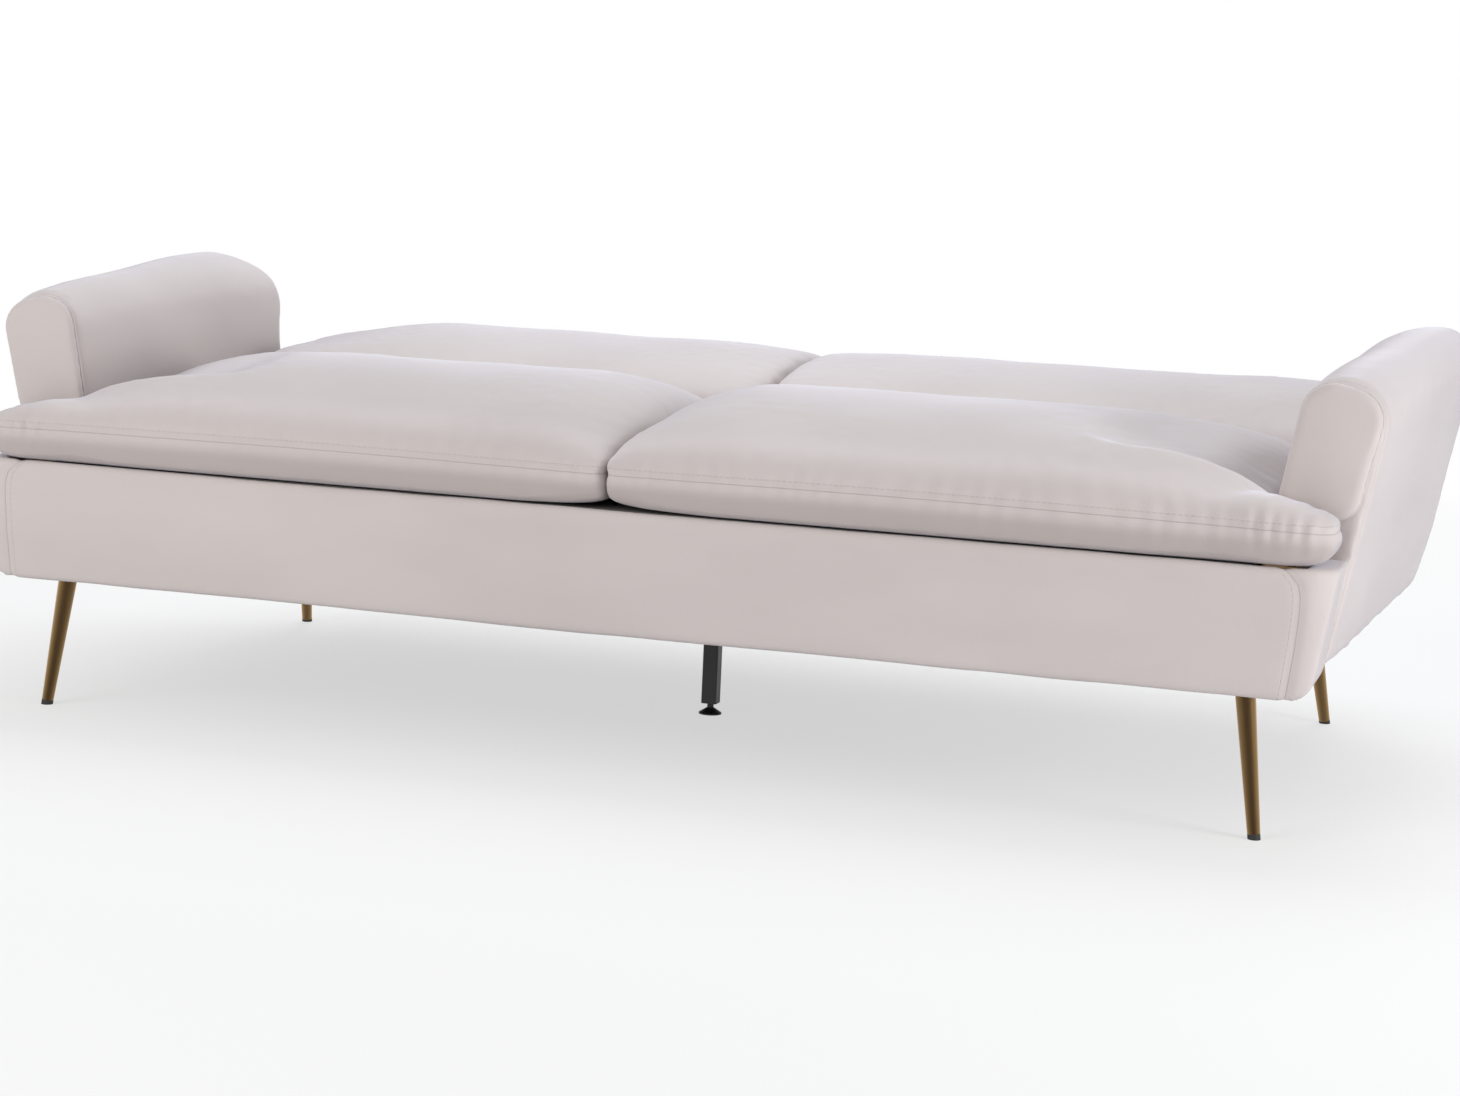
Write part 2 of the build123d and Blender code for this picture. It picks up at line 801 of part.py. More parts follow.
wing_height = wing_top - seat_base
wing_sections = [wing_section(wing_root_x, seat_front_height, seat_base + soft_clearance, seat_front_draw)]
for share, top, bottom, draw in wing_shares:
    wing_sections.append(
        wing_section(
            arm_inner_x + share * (wing_tip_x - arm_inner_x),
            seat_base + top * wing_height,
            seat_base + bottom * wing_height,
            draw * seat_front_draw,
        )
    )
with BuildPart() as seat_cushion:
    loft([seat_section(*row) for row in cushion_rows], ruled=True)
    loft(wing_sections, ruled=True)
save_pair(seat_cushion.part, "seat_cushion")

# Back frame, one body that turns about the hinge line

end_rail_inner = end_rail_outer - end_rail_thickness
near_rail_front = hinge_y - sqrt(back_near_radius**2 - (back_frame_low - rear_panel_thickness) ** 2)
near_rail_back = near_rail_front + back_rail_thickness
far_rail_back = back_y - far_rail_cover
far_rail_front = far_rail_back - back_rail_thickness
back_heights = (back_frame_bottom, back_frame_top)
back_arm_middle = hinge_z - (back_arm_low - back_arm_high) / 2
back_plate_points = [(hinge_y + share * back_arm_length, back_arm_middle) for share in back_screw_shares]

with BuildPart() as back_lower_rail:
    block((-end_rail_inner, end_rail_inner), (near_rail_front, near_rail_back), back_heights)
save(back_lower_rail.part, "back_lower_rail")

with BuildPart() as back_upper_rail:
    block((-end_rail_inner, end_rail_inner), (far_rail_front, far_rail_back), back_heights)
save(back_upper_rail.part, "back_upper_rail")

with BuildPart() as back_centre_rail:
    block((-back_rail_thickness / 2, back_rail_thickness / 2), (near_rail_back, far_rail_front), back_heights)
save(back_centre_rail.part, "back_centre_rail")

with BuildPart() as back_end_rail:
    block((end_rail_inner, end_rail_outer), (near_rail_front, far_rail_back), back_heights)
    bore(side_plane(end_rail_inner), [(hinge_y, hinge_z)], pin_radius + pin_bore_clearance, end_rail_thickness)
    bore(side_plane(end_rail_outer - screw_length), back_plate_points, pilot_radius, screw_length)
save_pair(back_end_rail.part, "back_end_rail")

slat_room = far_rail_back - near_rail_front
slat_pitch = (slat_room - slat_width) / (slat_count - 1)
slat_top = back_frame_top + slat_thickness
with BuildPart() as back_slats:
    for number in range(slat_count):
        start = near_rail_front + number * slat_pitch
        block((-end_rail_outer, end_rail_outer), (start, start + slat_width), (back_frame_top, slat_top))
save(back_slats.part, "back_slats")

rear_panel_bottom = back_frame_bottom - rear_panel_thickness
rear_wall_front = hinge_y + back_arm_length + overrun
with BuildPart() as back_rear_cover:
    block(
        (-end_rail_outer, end_rail_outer),
        (near_rail_front, far_rail_back),
        (rear_panel_bottom, back_frame_bottom),
    )
    for side in (-1, 1):
        ends = sorted((side * end_rail_outer, side * (end_rail_outer + rear_wall)))
        block(ends, (rear_wall_front, far_rail_back), (rear_panel_bottom, slat_top))
    block(
        (-end_rail_outer - rear_wall, end_rail_outer + rear_wall),
        (far_rail_back, far_rail_back + rear_wall),
        (rear_panel_bottom, slat_top),
    )
save(back_rear_cover.part, "back_rear_cover")

# Back cushions, lofted from the middle split to the outer end


def back_section(share, fullness):
    """Return one section of a back cushion: its near face follows a circle about the hinge line."""
    draw = seat_front_draw * (1 - fullness)
    base = hinge_z + back_cushion_base
    far_top = back_far_top - draw
    near_top = back_near_top - draw
    near_radius = back_near_radius - draw
    crown = back_split_crown + (back_crown - back_split_crown) * fullness
    near = hinge_y - sqrt(near_radius**2 - back_cushion_base**2)
    near_shoulder = hinge_y - sqrt(near_radius**2 - near_top**2)
    near_turn = radians(back_near_turn)
    near_place = (hinge_y - near_radius * cos(near_turn), hinge_z + near_radius * sin(near_turn))
    far = back_y - draw
    far_in = far - back_far_draw
    with BuildSketch(side_plane(seat_gap + share * (back_half_width - seat_gap))) as section:
        with BuildLine():
            Line((near, base), (far_in, base))
            ThreePointArc((far_in, base), (far, (base + hinge_z + far_top) / 2), (far_in, hinge_z + far_top))
            ThreePointArc(
                (far_in, hinge_z + far_top),
                ((hinge_y + back_y) / 2, hinge_z + crown),
                (near_shoulder, hinge_z + near_top),
            )
            ThreePointArc((near_shoulder, hinge_z + near_top), near_place, (near, base))
        make_face()
    return section.sketch


with BuildPart() as back_cushion:
    loft([back_section(*row) for row in cushion_rows], ruled=True)
save_pair(back_cushion.part, "back_cushion")

# Click-clack mechanism, right-hand side; the hinge line passes through the pivot pin

with BuildPart() as seat_plate:
    with BuildSketch(side_plane(seat_plate_inner)):
        with Locations((hinge_y, hinge_z)):
            Circle(seat_plate_front)
        with Locations((hinge_y + (seat_plate_rear - seat_plate_front) / 2, hinge_z - seat_plate_drop)):
            Rectangle(seat_plate_rear + seat_plate_front, plate_corner, align=(Align.CENTER, Align.MIN))
        with Locations((pawl_y_place, pawl_z_place)):
            Circle(seat_plate_front)
        make_hull()
        with Locations((hinge_y, hinge_z)):
            Circle(pin_radius + fit_clearance, mode=Mode.SUBTRACT)
        with Locations((pawl_y_place, pawl_z_place)):
            Circle(pawl_pin_radius + fit_clearance, mode=Mode.SUBTRACT)
        with Locations(*seat_plate_screws):
            Circle(pilot_radius, mode=Mode.SUBTRACT)
    extrude(amount=seat_plate_thickness)
save_pair(seat_plate.part, "hinge_seat_plate")


def tooth(number):
    """Return the corners of one ratchet tooth, measured from the hinge line."""
    start = radians(first_tooth_angle - number * tooth_pitch)
    end = start - radians(tooth_pitch)
    root = sector_radius - fit_clearance
    tip = sector_radius + tooth_height
    return (
        (root * cos(start), root * sin(start)),
        (tip * cos(start), tip * sin(start)),
        (root * cos(end), root * sin(end)),
    )


with BuildPart() as back_plate:
    with BuildSketch(side_plane(back_plate_inner)):
        with Locations((hinge_y, hinge_z)):
            Circle(sector_radius)
            for number in range(tooth_count):
                Polygon(*tooth(number), align=None)
        with Locations((hinge_y + back_arm_length / 2, back_arm_middle)):
            Rectangle(back_arm_length, back_arm_low + back_arm_high)
        with Locations((hinge_y, hinge_z + back_plate_head)):
            Rectangle(2 * sector_radius, sector_radius, align=(Align.CENTER, Align.MIN), mode=Mode.SUBTRACT)
        with Locations((hinge_y, hinge_z)):
            Circle(pin_radius + fit_clearance, mode=Mode.SUBTRACT)
        with Locations(*back_plate_points):
            Circle(pilot_radius, mode=Mode.SUBTRACT)
    extrude(amount=plate_thickness)
save_pair(back_plate.part, "hinge_back_plate")

with BuildPart() as pivot_pin:
    with BuildSketch(side_plane(end_rail_outer - pin_reach)):
        with Locations((hinge_y, hinge_z)):
            Circle(pin_radius)
    extrude(amount=side_rail_inner - end_rail_outer + pin_reach)
    with BuildSketch(side_plane(side_rail_inner)):
        with Locations((hinge_y, hinge_z)):
            Circle(pin_head_radius)
    extrude(amount=pin_head_height)
    head_rim = pivot_pin.faces().sort_by(Axis.X)[-1].edges()
    fillet(head_rim, radius=pin_head_height / 3)
save_both(pivot_pin.part, "pivot_pins")

pawl_reach = sector_radius + tooth_height + pawl_tip_clearance + pawl_tip_radius
pawl_tip_y = hinge_y + pawl_reach * cos(radians(pawl_tip_angle))
pawl_tip_z = hinge_z + pawl_reach * sin(radians(pawl_tip_angle))
with BuildPart() as pawl:
    with BuildSketch(side_plane(back_plate_inner + plate_gap / 2)):
        with Locations((pawl_y_place, pawl_z_place)):
            Circle(pawl_hub_radius)
        with Locations((pawl_tip_y, pawl_tip_z)):
            Circle(pawl_tip_radius)
        make_hull()
    extrude(amount=plate_thickness)
    with BuildSketch(side_plane(back_plate_inner + plate_gap / 2)):
        with Locations((pawl_y_place, pawl_z_place)):
            Circle(pawl_hub_radius)
        with Locations((hinge_y + pawl_tail_y, hinge_z - pawl_tail_drop)):
            Circle(pawl_tail_radius)
        make_hull()
    extrude(amount=plate_thickness)
    bore(
        side_plane(back_plate_inner),
        [(pawl_y_place, pawl_z_place)],
        pawl_pin_radius + fit_clearance,
        side_rail_inner - back_plate_inner,
    )
save_pair(pawl.part, "ratchet_pawl")

with BuildPart() as pawl_pin:
    with BuildSketch(side_plane(back_plate_inner + plate_gap / 2)):
        with Locations((pawl_y_place, pawl_z_place)):
            Circle(pawl_pin_radius)
    extrude(amount=side_rail_inner - back_plate_inner - plate_gap / 2)
save_both(pawl_pin.part, "pawl_pins")

with BuildPart() as pawl_spring:
    foot_place = (hinge_y + spring_foot_y, hinge_z - spring_foot_drop)
    with BuildSketch(side_plane(back_plate_inner + plate_gap / 2)):
        with Locations(foot_place):
            Rectangle(spring_foot_size, spring_foot_size)
        with Locations(Location(foot_place, spring_blade_turn)):
            Rectangle(spring_blade_length, spring_blade, align=(Align.MIN, Align.CENTER))
    extrude(amount=seat_plate_inner - back_plate_inner - plate_gap / 2)
save_both(pawl_spring.part, "pawl_springs")


def screws(plane, points, length):
    """Build countersunk screws: shanks along the plane's normal, heads on its other side."""
    with BuildSketch(plane) as shanks:
        with Locations(*points):
            Circle(screw_radius)
    extrude(shanks.sketch, amount=length)
    with BuildSketch(plane) as heads:
        with Locations(*points):
            Circle(screw_head_radius)
    extrude(heads.sketch, amount=-screw_head_height)


with BuildPart() as hinge_seat_screws:
    screws(side_plane(seat_plate_inner), seat_plate_screws, screw_length)
save_both(hinge_seat_screws.part, "hinge_seat_screws")

back_screw_plane = Plane(origin=(back_plate_outer, 0, 0), x_dir=(0, 1, 0), z_dir=(-1, 0, 0))
back_screw_points = [(y, -z) for y, z in back_plate_points]
with BuildPart() as hinge_back_screws:
    screws(back_screw_plane, back_screw_points, screw_length)
save_both(hinge_back_screws.part, "hinge_back_screws")

# Legs


def leg_axis(foot, head):
    """Return the plane square to a leg's axis where the axis meets the floor."""
    low = Vector(foot[0], foot[1], 0)
    high = Vector(head[0], head[1], plate_bottom)
    return Plane(origin=low, z_dir=high - low)


def leg_length(foot, head):
    """Return the length of a leg's axis from the floor to the plate."""
    return (Vector(head[0], head[1], plate_bottom) - Vector(foot[0], foot[1], 0)).length


for place, foot, head in (("front", front_foot, front_head), ("rear", rear_foot, rear_head)):
    axis = leg_axis(foot, head)
    length = leg_length(foot, head)
    with BuildPart() as leg:
        with BuildSketch(axis.offset(leg_cap_height)):
            Circle(leg_bottom_radius)
        with BuildSketch(axis.offset(length + leg_top_radius)):
            Circle(leg_top_radius)
        loft()
        split(bisect_by=Plane.XY.offset(plate_bottom), keep=Keep.BOTTOM)
    save_pair(leg.part, f"{place}_leg")
    with BuildPart() as leg_cap:
        with BuildSketch(axis.offset(-leg_cap_height / 2)):
            Circle(leg_cap_radius)
        extrude(amount=leg_cap_height * 3 / 2)
        lower_rim = leg_cap.faces().sort_by(Axis.Z)[0].edges()
        fillet(lower_rim, radius=leg_cap_rounding)
        split(bisect_by=Plane.XY, keep=Keep.TOP)
    save_pair(leg_cap.part, f"{place}_leg_cap")

with BuildPart() as leg_plates:
    for side in (-1, 1):
        for x, y in (front_head, rear_head):
            with BuildSketch(Plane.XY.offset(plate_bottom)) as plate:
                with Locations((side * x, y)):
                    RectangleRounded(leg_plate_size, leg_plate_size, leg_plate_corner)
            extrude(plate.sketch, amount=leg_plate_thickness)
    with BuildSketch(Plane.XY.offset(plate_bottom)) as middle_plate:
        with Locations((0, middle_leg_y)):
            RectangleRounded(middle_plate_width, middle_plate_length, leg_plate_corner)
    extrude(middle_plate.sketch, amount=leg_plate_thickness)
    pilot_holes(leg_screws + middle_screws)
save(leg_plates.part, "leg_plates")

with BuildPart() as leg_plate_screws:
    screws(Plane.XY.offset(plate_bottom), leg_screws + middle_screws, pilot_depth)
save(leg_plate_screws.part, "leg_plate_screws")

# Middle leg with its levelling foot

with BuildPart() as middle_leg_tube:
    with BuildSketch(Plane.XY.offset(tube_bottom)):
        with Locations((0, middle_leg_y)):
            RectangleRounded(tube_size, tube_size, tube_corner)
            Rectangle(tube_size - 2 * tube_wall, tube_size - 2 * tube_wall, mode=Mode.SUBTRACT)
    extrude(amount=plate_bottom - tube_bottom)
save(middle_leg_tube.part, "middle_leg_tube")

insert_size = tube_size - 2 * tube_wall
with BuildPart() as middle_leg_insert:
    with BuildSketch(Plane.XY.offset(tube_bottom)):
        with Locations((0, middle_leg_y)):
            Rectangle(insert_size, insert_size)
            Circle(stud_radius + fit_clearance, mode=Mode.SUBTRACT)
    extrude(amount=insert_height)
save(middle_leg_insert.part, "middle_leg_insert")

with BuildPart() as levelling_foot:
    with BuildSketch(Plane(origin=(0, middle_leg_y, 0), x_dir=(1, 0, 0), z_dir=(0, -1, 0))):
        with BuildLine():
            Polyline(
                (0, 0),
                (foot_radius, 0),
                (foot_radius, foot_rim),
                (stud_radius, foot_height),
                (stud_radius, foot_height + stud_length),
                (0, foot_height + stud_length),
                close=True,
            )
        make_face()
    revolve(axis=Axis((0, middle_leg_y, 0), (0, 0, 1)))
save(levelling_foot.part, "levelling_foot")
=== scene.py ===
"""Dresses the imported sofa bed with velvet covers, seams, metals and wood, and sets the studio."""

import json
import logging
import math
from dataclasses import dataclass, field
from enum import Enum
from typing import Sequence

import bmesh
import bpy
import numpy as np
from mathutils import Matrix, Vector, noise


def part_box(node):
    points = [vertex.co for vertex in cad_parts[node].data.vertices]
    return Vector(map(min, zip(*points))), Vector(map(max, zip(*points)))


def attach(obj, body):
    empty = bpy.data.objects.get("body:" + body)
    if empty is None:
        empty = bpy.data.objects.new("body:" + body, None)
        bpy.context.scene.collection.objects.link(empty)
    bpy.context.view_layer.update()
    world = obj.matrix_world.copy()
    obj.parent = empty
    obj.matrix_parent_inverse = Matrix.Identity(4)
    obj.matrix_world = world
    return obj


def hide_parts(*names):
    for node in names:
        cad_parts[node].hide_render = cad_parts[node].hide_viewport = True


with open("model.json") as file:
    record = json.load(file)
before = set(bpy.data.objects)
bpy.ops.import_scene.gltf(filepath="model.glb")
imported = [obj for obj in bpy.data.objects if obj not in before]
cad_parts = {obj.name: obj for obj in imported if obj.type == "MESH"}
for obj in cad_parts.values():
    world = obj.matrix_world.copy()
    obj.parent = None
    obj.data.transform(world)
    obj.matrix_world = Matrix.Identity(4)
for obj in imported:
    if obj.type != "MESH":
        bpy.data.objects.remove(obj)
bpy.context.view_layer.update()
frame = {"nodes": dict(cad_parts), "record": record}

LOG = logging.getLogger("sofa_bed")
FloatArray = np.ndarray
Colour = tuple[float, float, float]
Span = tuple[float, float]
Piece = bpy.types.Object
Tree = bpy.types.NodeTree
Socket = bpy.types.NodeSocket
Material = bpy.types.Material


class Side(Enum):
    """The two hands of the sofa, as the sign of X."""

    LEFT = -1
    RIGHT = 1

    @property
    def suffix(self) -> str:
        """The ending of a node's name on this side."""
        return "left" if self is Side.LEFT else "right"


class Body(Enum):
    """The rigid bodies that pieces ride on."""

    BASE = "base"
    BACK = "back"


def linear(red: float, green: float, blue: float) -> Colour:
    """Turn a colour written in 0 to 255 steps into linear light.

    Args:
        red, green, blue: The colour's parts as seen on a screen.

    Returns:
        The same colour in linear light.
    """

    def part(value: float) -> float:
        """Turn one part by the usual display curve."""
        share = value / 255
        return share / 12.92 if share <= 0.04045 else ((share + 0.055) / 1.055) ** 2.4

    return part(red), part(green), part(blue)


# Mesh helpers


def object_from(name: str, work: bmesh.types.BMesh) -> Piece:
    """Put a bmesh into the scene as an object at the origin.

    Args:
        name: The piece's name.
        work: The bmesh, which is freed.

    Returns:
        The linked object.
    """
    mesh = bpy.data.meshes.new(name)
    work.to_mesh(mesh)
    work.free()
    piece = bpy.data.objects.new(name, mesh)
    bpy.context.scene.collection.objects.link(piece)
    return piece


def mesh_of(name: str, work: bmesh.types.BMesh) -> Piece:
    """Turn a new bmesh's faces outwards and put it into the scene."""
    bmesh.ops.recalc_face_normals(work, faces=work.faces)
    return object_from(name, work)


def merged_copy(node: str, name: str) -> Piece:
    """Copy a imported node's mesh and merge its loose triangles.

    Args:
        node: The node to copy.
        name: The name of the copy.

    Returns:
        The copy, a closed mesh.
    """
    work = bmesh.new()
    work.from_mesh(frame["nodes"][node].data)
    bmesh.ops.remove_doubles(work, verts=work.verts, dist=2e-5)
    bmesh.ops.dissolve_degenerate(work, edges=work.edges, dist=1e-6)
    return object_from(name, work)


def add_block(work: bmesh.types.BMesh, low: Sequence[float], high: Sequence[float]) -> None:
    """Add a block to a bmesh.

    Args:
        work: The bmesh.
        low: The block's lowest corner.
        high: Its highest corner.
    """
    cube = bmesh.ops.create_cube(work, size=1.0)["verts"]
    bmesh.ops.scale(work, vec=[last - first for first, last in zip(low, high)], verts=cube)
    bmesh.ops.translate(work, vec=[(last + first) / 2 for first, last in zip(low, high)], verts=cube)


def settle(piece: Piece) -> None:
    """Apply every modifier of a piece to its mesh.

    Args:
        piece: The piece, left with no modifiers.
    """
    graph = bpy.context.evaluated_depsgraph_get()
    graph.update()
    made = bpy.data.meshes.new_from_object(piece.evaluated_get(graph))
    made.name = piece.name
    piece.modifiers.clear()
    piece.data = made


def voxel(piece: Piece, size: float) -> None:
    """Rebuild a closed piece with even square faces.

    Args:
        piece: The piece.
        size: The side of a voxel in metres.
    """
    remesh = piece.modifiers.new("even", "REMESH")
    remesh.mode = "VOXEL"
    remesh.voxel_size = size
    settle(piece)


def subdivide(piece: Piece) -> None:
    """Subdivide a piece smoothly once and apply it.

    Args:
        piece: The piece.
    """
    finer = piece.modifiers.new("finer", "SUBSURF")
    finer.levels = 1
    finer.render_levels = 1
    settle(piece)


def relax(piece: Piece, steps: int) -> None:
    """Smooth a piece's vertices halfway towards their neighbours.

    Args:
        piece: The piece.
        steps: How many passes.
    """
    work = bmesh.new()
    work.from_mesh(piece.data)
    for _ in range(steps):
        bmesh.ops.smooth_vert(
            work, verts=work.verts, factor=0.5, use_axis_x=True, use_axis_y=True, use_axis_z=True
        )
    work.to_mesh(piece.data)
    work.free()


def points_of(piece: Piece) -> FloatArray:
    """Read a piece's vertices as rows of X, Y and Z."""
    flat = np.empty(len(piece.data.vertices) * 3)
    piece.data.vertices.foreach_get("co", flat)
    return flat.reshape(-1, 3)


def set_points(piece: Piece, points: FloatArray) -> None:
    """Write a piece's vertices back from rows of X, Y and Z."""
    piece.data.vertices.foreach_set("co", points.reshape(-1))
    piece.data.update()


def normals_of(piece: Piece) -> FloatArray:
    """Read the outward direction at each vertex of a piece."""
    flat = np.empty(len(piece.data.vertices) * 3)
    piece.data.vertices.foreach_get("normal", flat)
    return flat.reshape(-1, 3)


def smooth_shade(piece: Piece) -> None:
    """Shade a piece as one smooth surface."""
    piece.data.polygons.foreach_set("use_smooth", [True] * len(piece.data.polygons))


def write_attribute(piece: Piece, name: str, values: FloatArray) -> None:
    """Store one number for each vertex of a piece under an attribute's name."""
    layer = piece.data.attributes.new(name, "FLOAT", "POINT")
    layer.data.foreach_set("value", values.astype(np.float32))


def write_seam(piece: Piece, gap: FloatArray, run: FloatArray) -> None:
    """Store how far each vertex is from a seam and how far along it."""
    write_attribute(piece, "seam_gap", gap)
    write_attribute(piece, "seam_run", run)


def wander(points: FloatArray, scale: float, seed: float) -> FloatArray:
    """Give each point a soft random value of about -1 to 1, with so many changes in a metre."""
    shift = Vector((seed, -seed, seed * 0.5))
    return np.array([noise.noise(Vector(row) * scale + shift) for row in points])


def bump(distance: FloatArray, width: float) -> FloatArray:
    """Return a bell curve of a distance that has fallen to a third at the width."""
    return np.exp(-((distance / width) ** 2))


def fade(value: FloatArray, start: float, end: float) -> FloatArray:
    """Return a smooth change from 0 at start to 1 at end."""
    share = np.clip((value - start) / (end - start), 0, 1)
    return share * share * (3 - 2 * share)


def ripples(run: FloatArray, pitch: float, drift: FloatArray) -> FloatArray:
    """Return waves of a pitch along a run, made uneven by a drift."""
    return np.sin(run * 2 * math.pi / pitch + drift)


# Node groups that several finishes share


def group(name: str, inputs: Sequence[tuple[str, float]], outputs: Sequence[str]) -> Tree:
    """Start a shader node group with named sockets.

    Args:
        name: The group's name.
        inputs: Each input's name and its default.
        outputs: The names of the outputs, all plain values.

    Returns:
        The group, with its input and output nodes in place.
    """
    tree = bpy.data.node_groups.new(name, "ShaderNodeTree")
    for label, value in inputs:
        socket = tree.interface.new_socket(name=label, in_out="INPUT", socket_type="NodeSocketFloat")
        socket.default_value = value
    for label in outputs:
        tree.interface.new_socket(name=label, in_out="OUTPUT", socket_type="NodeSocketFloat")
    tree.nodes.new("NodeGroupInput")
    tree.nodes.new("NodeGroupOutput")
    return tree


def feed(tree: Tree, value: object, socket: Socket) -> None:
    """Link a value to an input if it is a socket, or else set the input to it, unless it is None."""
    if isinstance(value, Socket):
        tree.links.new(value, socket)
    elif value is not None:
        socket.default_value = value


def math_node(
    tree: Tree, operation: str, first: object, second: object = None, clamp: bool = False
) -> Socket:
    """Add one Math node.

    Args:
        tree: The tree that gets the node.
        operation: What the node does.
        first: A socket or a number.
        second: A socket or a number, or nothing.
        clamp: Whether the result stays between 0 and 1.

    Returns:
        The node's output.
    """
    node = tree.nodes.new("ShaderNodeMath")
    node.operation = operation
    node.use_clamp = clamp
    feed(tree, first, node.inputs[0])
    feed(tree, second, node.inputs[1])
    return node.outputs[0]


def noise_node(tree: Tree, place: Socket, scale: object, detail: float) -> Socket:
    """Add one Noise Texture and return its value.

    Args:
        tree: The tree that gets the node.
        place: The coordinates.
        scale: A number or a socket.
        detail: How many finer layers it has.

    Returns:
        The noise's value.
    """
    node = tree.nodes.new("ShaderNodeTexNoise")
    node.inputs["Detail"].default_value = detail
    tree.links.new(place, node.inputs["Vector"])
    feed(tree, scale, node.inputs["Scale"])
    return node.outputs["Fac"]


def stretched(tree: Tree, x: float, y: float, z: float) -> Socket:
    """Return object coordinates multiplied on each axis.

    Args:
        tree: The tree that gets the nodes.
        x, y, z: The factors.

    Returns:
        The scaled coordinates.
    """
    place = tree.nodes.new("ShaderNodeTexCoord")
    mapping = tree.nodes.new("ShaderNodeMapping")
    mapping.inputs["Scale"].default_value = (x, y, z)
    tree.links.new(place.outputs["Object"], mapping.inputs["Vector"])
    return mapping.outputs["Vector"]


def attribute_value(tree: Tree, name: str) -> Socket:
    """Return the value that a mesh carries under a name.

    Args:
        tree: The tree that gets the node.
        name: The attribute's name.

    Returns:
        The value.
    """
    node = tree.nodes.new("ShaderNodeAttribute")
    node.attribute_name = name
    return node.outputs["Fac"]


def blend(tree: Tree, first: Socket, share: float, second: Socket) -> Socket:
    """Add a share of one value to the rest of another."""
    rest = math_node(tree, "MULTIPLY", second, 1 - share)
    return math_node(tree, "ADD", math_node(tree, "MULTIPLY", first, share), rest)


def sharpen(tree: Tree, value: Socket, start: float, gain: float) -> Socket:
    """Turn what lies above a start into a share of 0 to 1."""
    return math_node(tree, "MULTIPLY", math_node(tree, "SUBTRACT", value, start), gain, clamp=True)


def pile_group() -> Tree:
    """Build the effect of a short pile: cloudy stroking marks and a fine fibre height."""
    tree = group("short_pile", (("Cloud Scale", 2.2), ("Fibre Scale", 420.0)), ("Stroke", "Height"))
    start, end = tree.nodes["Group Input"], tree.nodes["Group Output"]
    plain = stretched(tree, 1, 1, 1)
    clouds = noise_node(tree, plain, start.outputs["Cloud Scale"], 3)
    strokes = noise_node(tree, stretched(tree, 2, 2, 7), 1.6, 2)
    fibres = noise_node(tree, plain, start.outputs["Fibre Scale"], 2)
    weave = noise_node(tree, stretched(tree, 1, 1, 0.35), 160.0, 1)
    tree.links.new(sharpen(tree, blend(tree, clouds, 0.5, strokes), 0.34, 3.0), end.inputs["Stroke"])
    tree.links.new(blend(tree, fibres, 0.65, weave), end.inputs["Height"])
    return tree


def stitch_group() -> Tree:
    """Build the effect of a sewn seam from the seam attributes of a piece."""
    inputs = (("Line Width", 0.0010), ("Stitch Offset", 0.0095), ("Pitch", 0.008))
    tree = group("sewn_seam", inputs, ("Thread", "Crease"))
    start, end = tree.nodes["Group Input"], tree.nodes["Group Output"]
    gap = attribute_value(tree, "seam_gap")
    run = attribute_value(tree, "seam_run")

    def line(distance: Socket) -> Socket:
        """Return a thin line where a distance is near 0."""
        away = math_node(tree, "DIVIDE", math_node(tree, "ABSOLUTE", distance), start.outputs["Line Width"])
        return math_node(tree, "SUBTRACT", 1.0, away, clamp=True)

    thread = line(math_node(tree, "SUBTRACT", gap, start.outputs["Stitch Offset"]))
    phase = math_node(tree, "FRACT", math_node(tree, "DIVIDE", run, start.outputs["Pitch"]))
    dash = math_node(tree, "GREATER_THAN", phase, 0.28)
    tree.links.new(math_node(tree, "MULTIPLY", thread, dash), end.inputs["Thread"])
    # the crease line, which the velvet paints darker as shade in the seam's groove and also sinks with a
    # bump
    tree.links.new(line(gap), end.inputs["Crease"])
    return tree


def wear_group() -> Tree:
    """Build the effect of handling on hard finishes: fine scuffs and soft smudges."""
    tree = group("handling", (("Scale", 30.0), ("Amount", 0.5)), ("Scuff", "Smudge"))
    start, end = tree.nodes["Group Input"], tree.nodes["Group Output"]
    finer = math_node(tree, "MULTIPLY", start.outputs["Scale"], 12.0)
    fine = noise_node(tree, stretched(tree, 1, 1, 0.15), finer, 4)
    scuff = math_node(tree, "MULTIPLY", sharpen(tree, fine, 0.55, 3.0), start.outputs["Amount"])
    smudge = noise_node(tree, stretched(tree, 1, 1, 1), start.outputs["Scale"], 3)
    tree.links.new(scuff, end.inputs["Scuff"])
    tree.links.new(smudge, end.inputs["Smudge"])
    return tree


def grain_group() -> Tree:
    """Build the effect of sawn softwood: growth lines along the longest run of a rail."""
    tree = group("wood_grain", (("Ring Scale", 26.0),), ("Ring", "Fibre"))
    start, end = tree.nodes["Group Input"], tree.nodes["Group Output"]
    slow = stretched(tree, 0.6, 0.6, 1.0)
    rings = tree.nodes.new("ShaderNodeTexWave")
    rings.wave_type = "RINGS"
    rings.rings_direction = "X"
    rings.inputs["Distortion"].default_value = 7.0
    rings.inputs["Detail"].default_value = 2.0
    tree.links.new(slow, rings.inputs["Vector"])
    tree.links.new(start.outputs["Ring Scale"], rings.inputs["Scale"])
    fibre = noise_node(tree, stretched(tree, 4, 90, 90), 4.0, 3)
    tree.links.new(rings.outputs["Fac"], end.inputs["Ring"])
    tree.links.new(fibre, end.inputs["Fibre"])
    return tree


@dataclass
class SharedEffects:
    """The node groups, built once and placed in each material."""

    pile: Tree = field(default_factory=pile_group)
    stitch: Tree = field(default_factory=stitch_group)
    wear: Tree = field(default_factory=wear_group)
    grain: Tree = field(default_factory=grain_group)


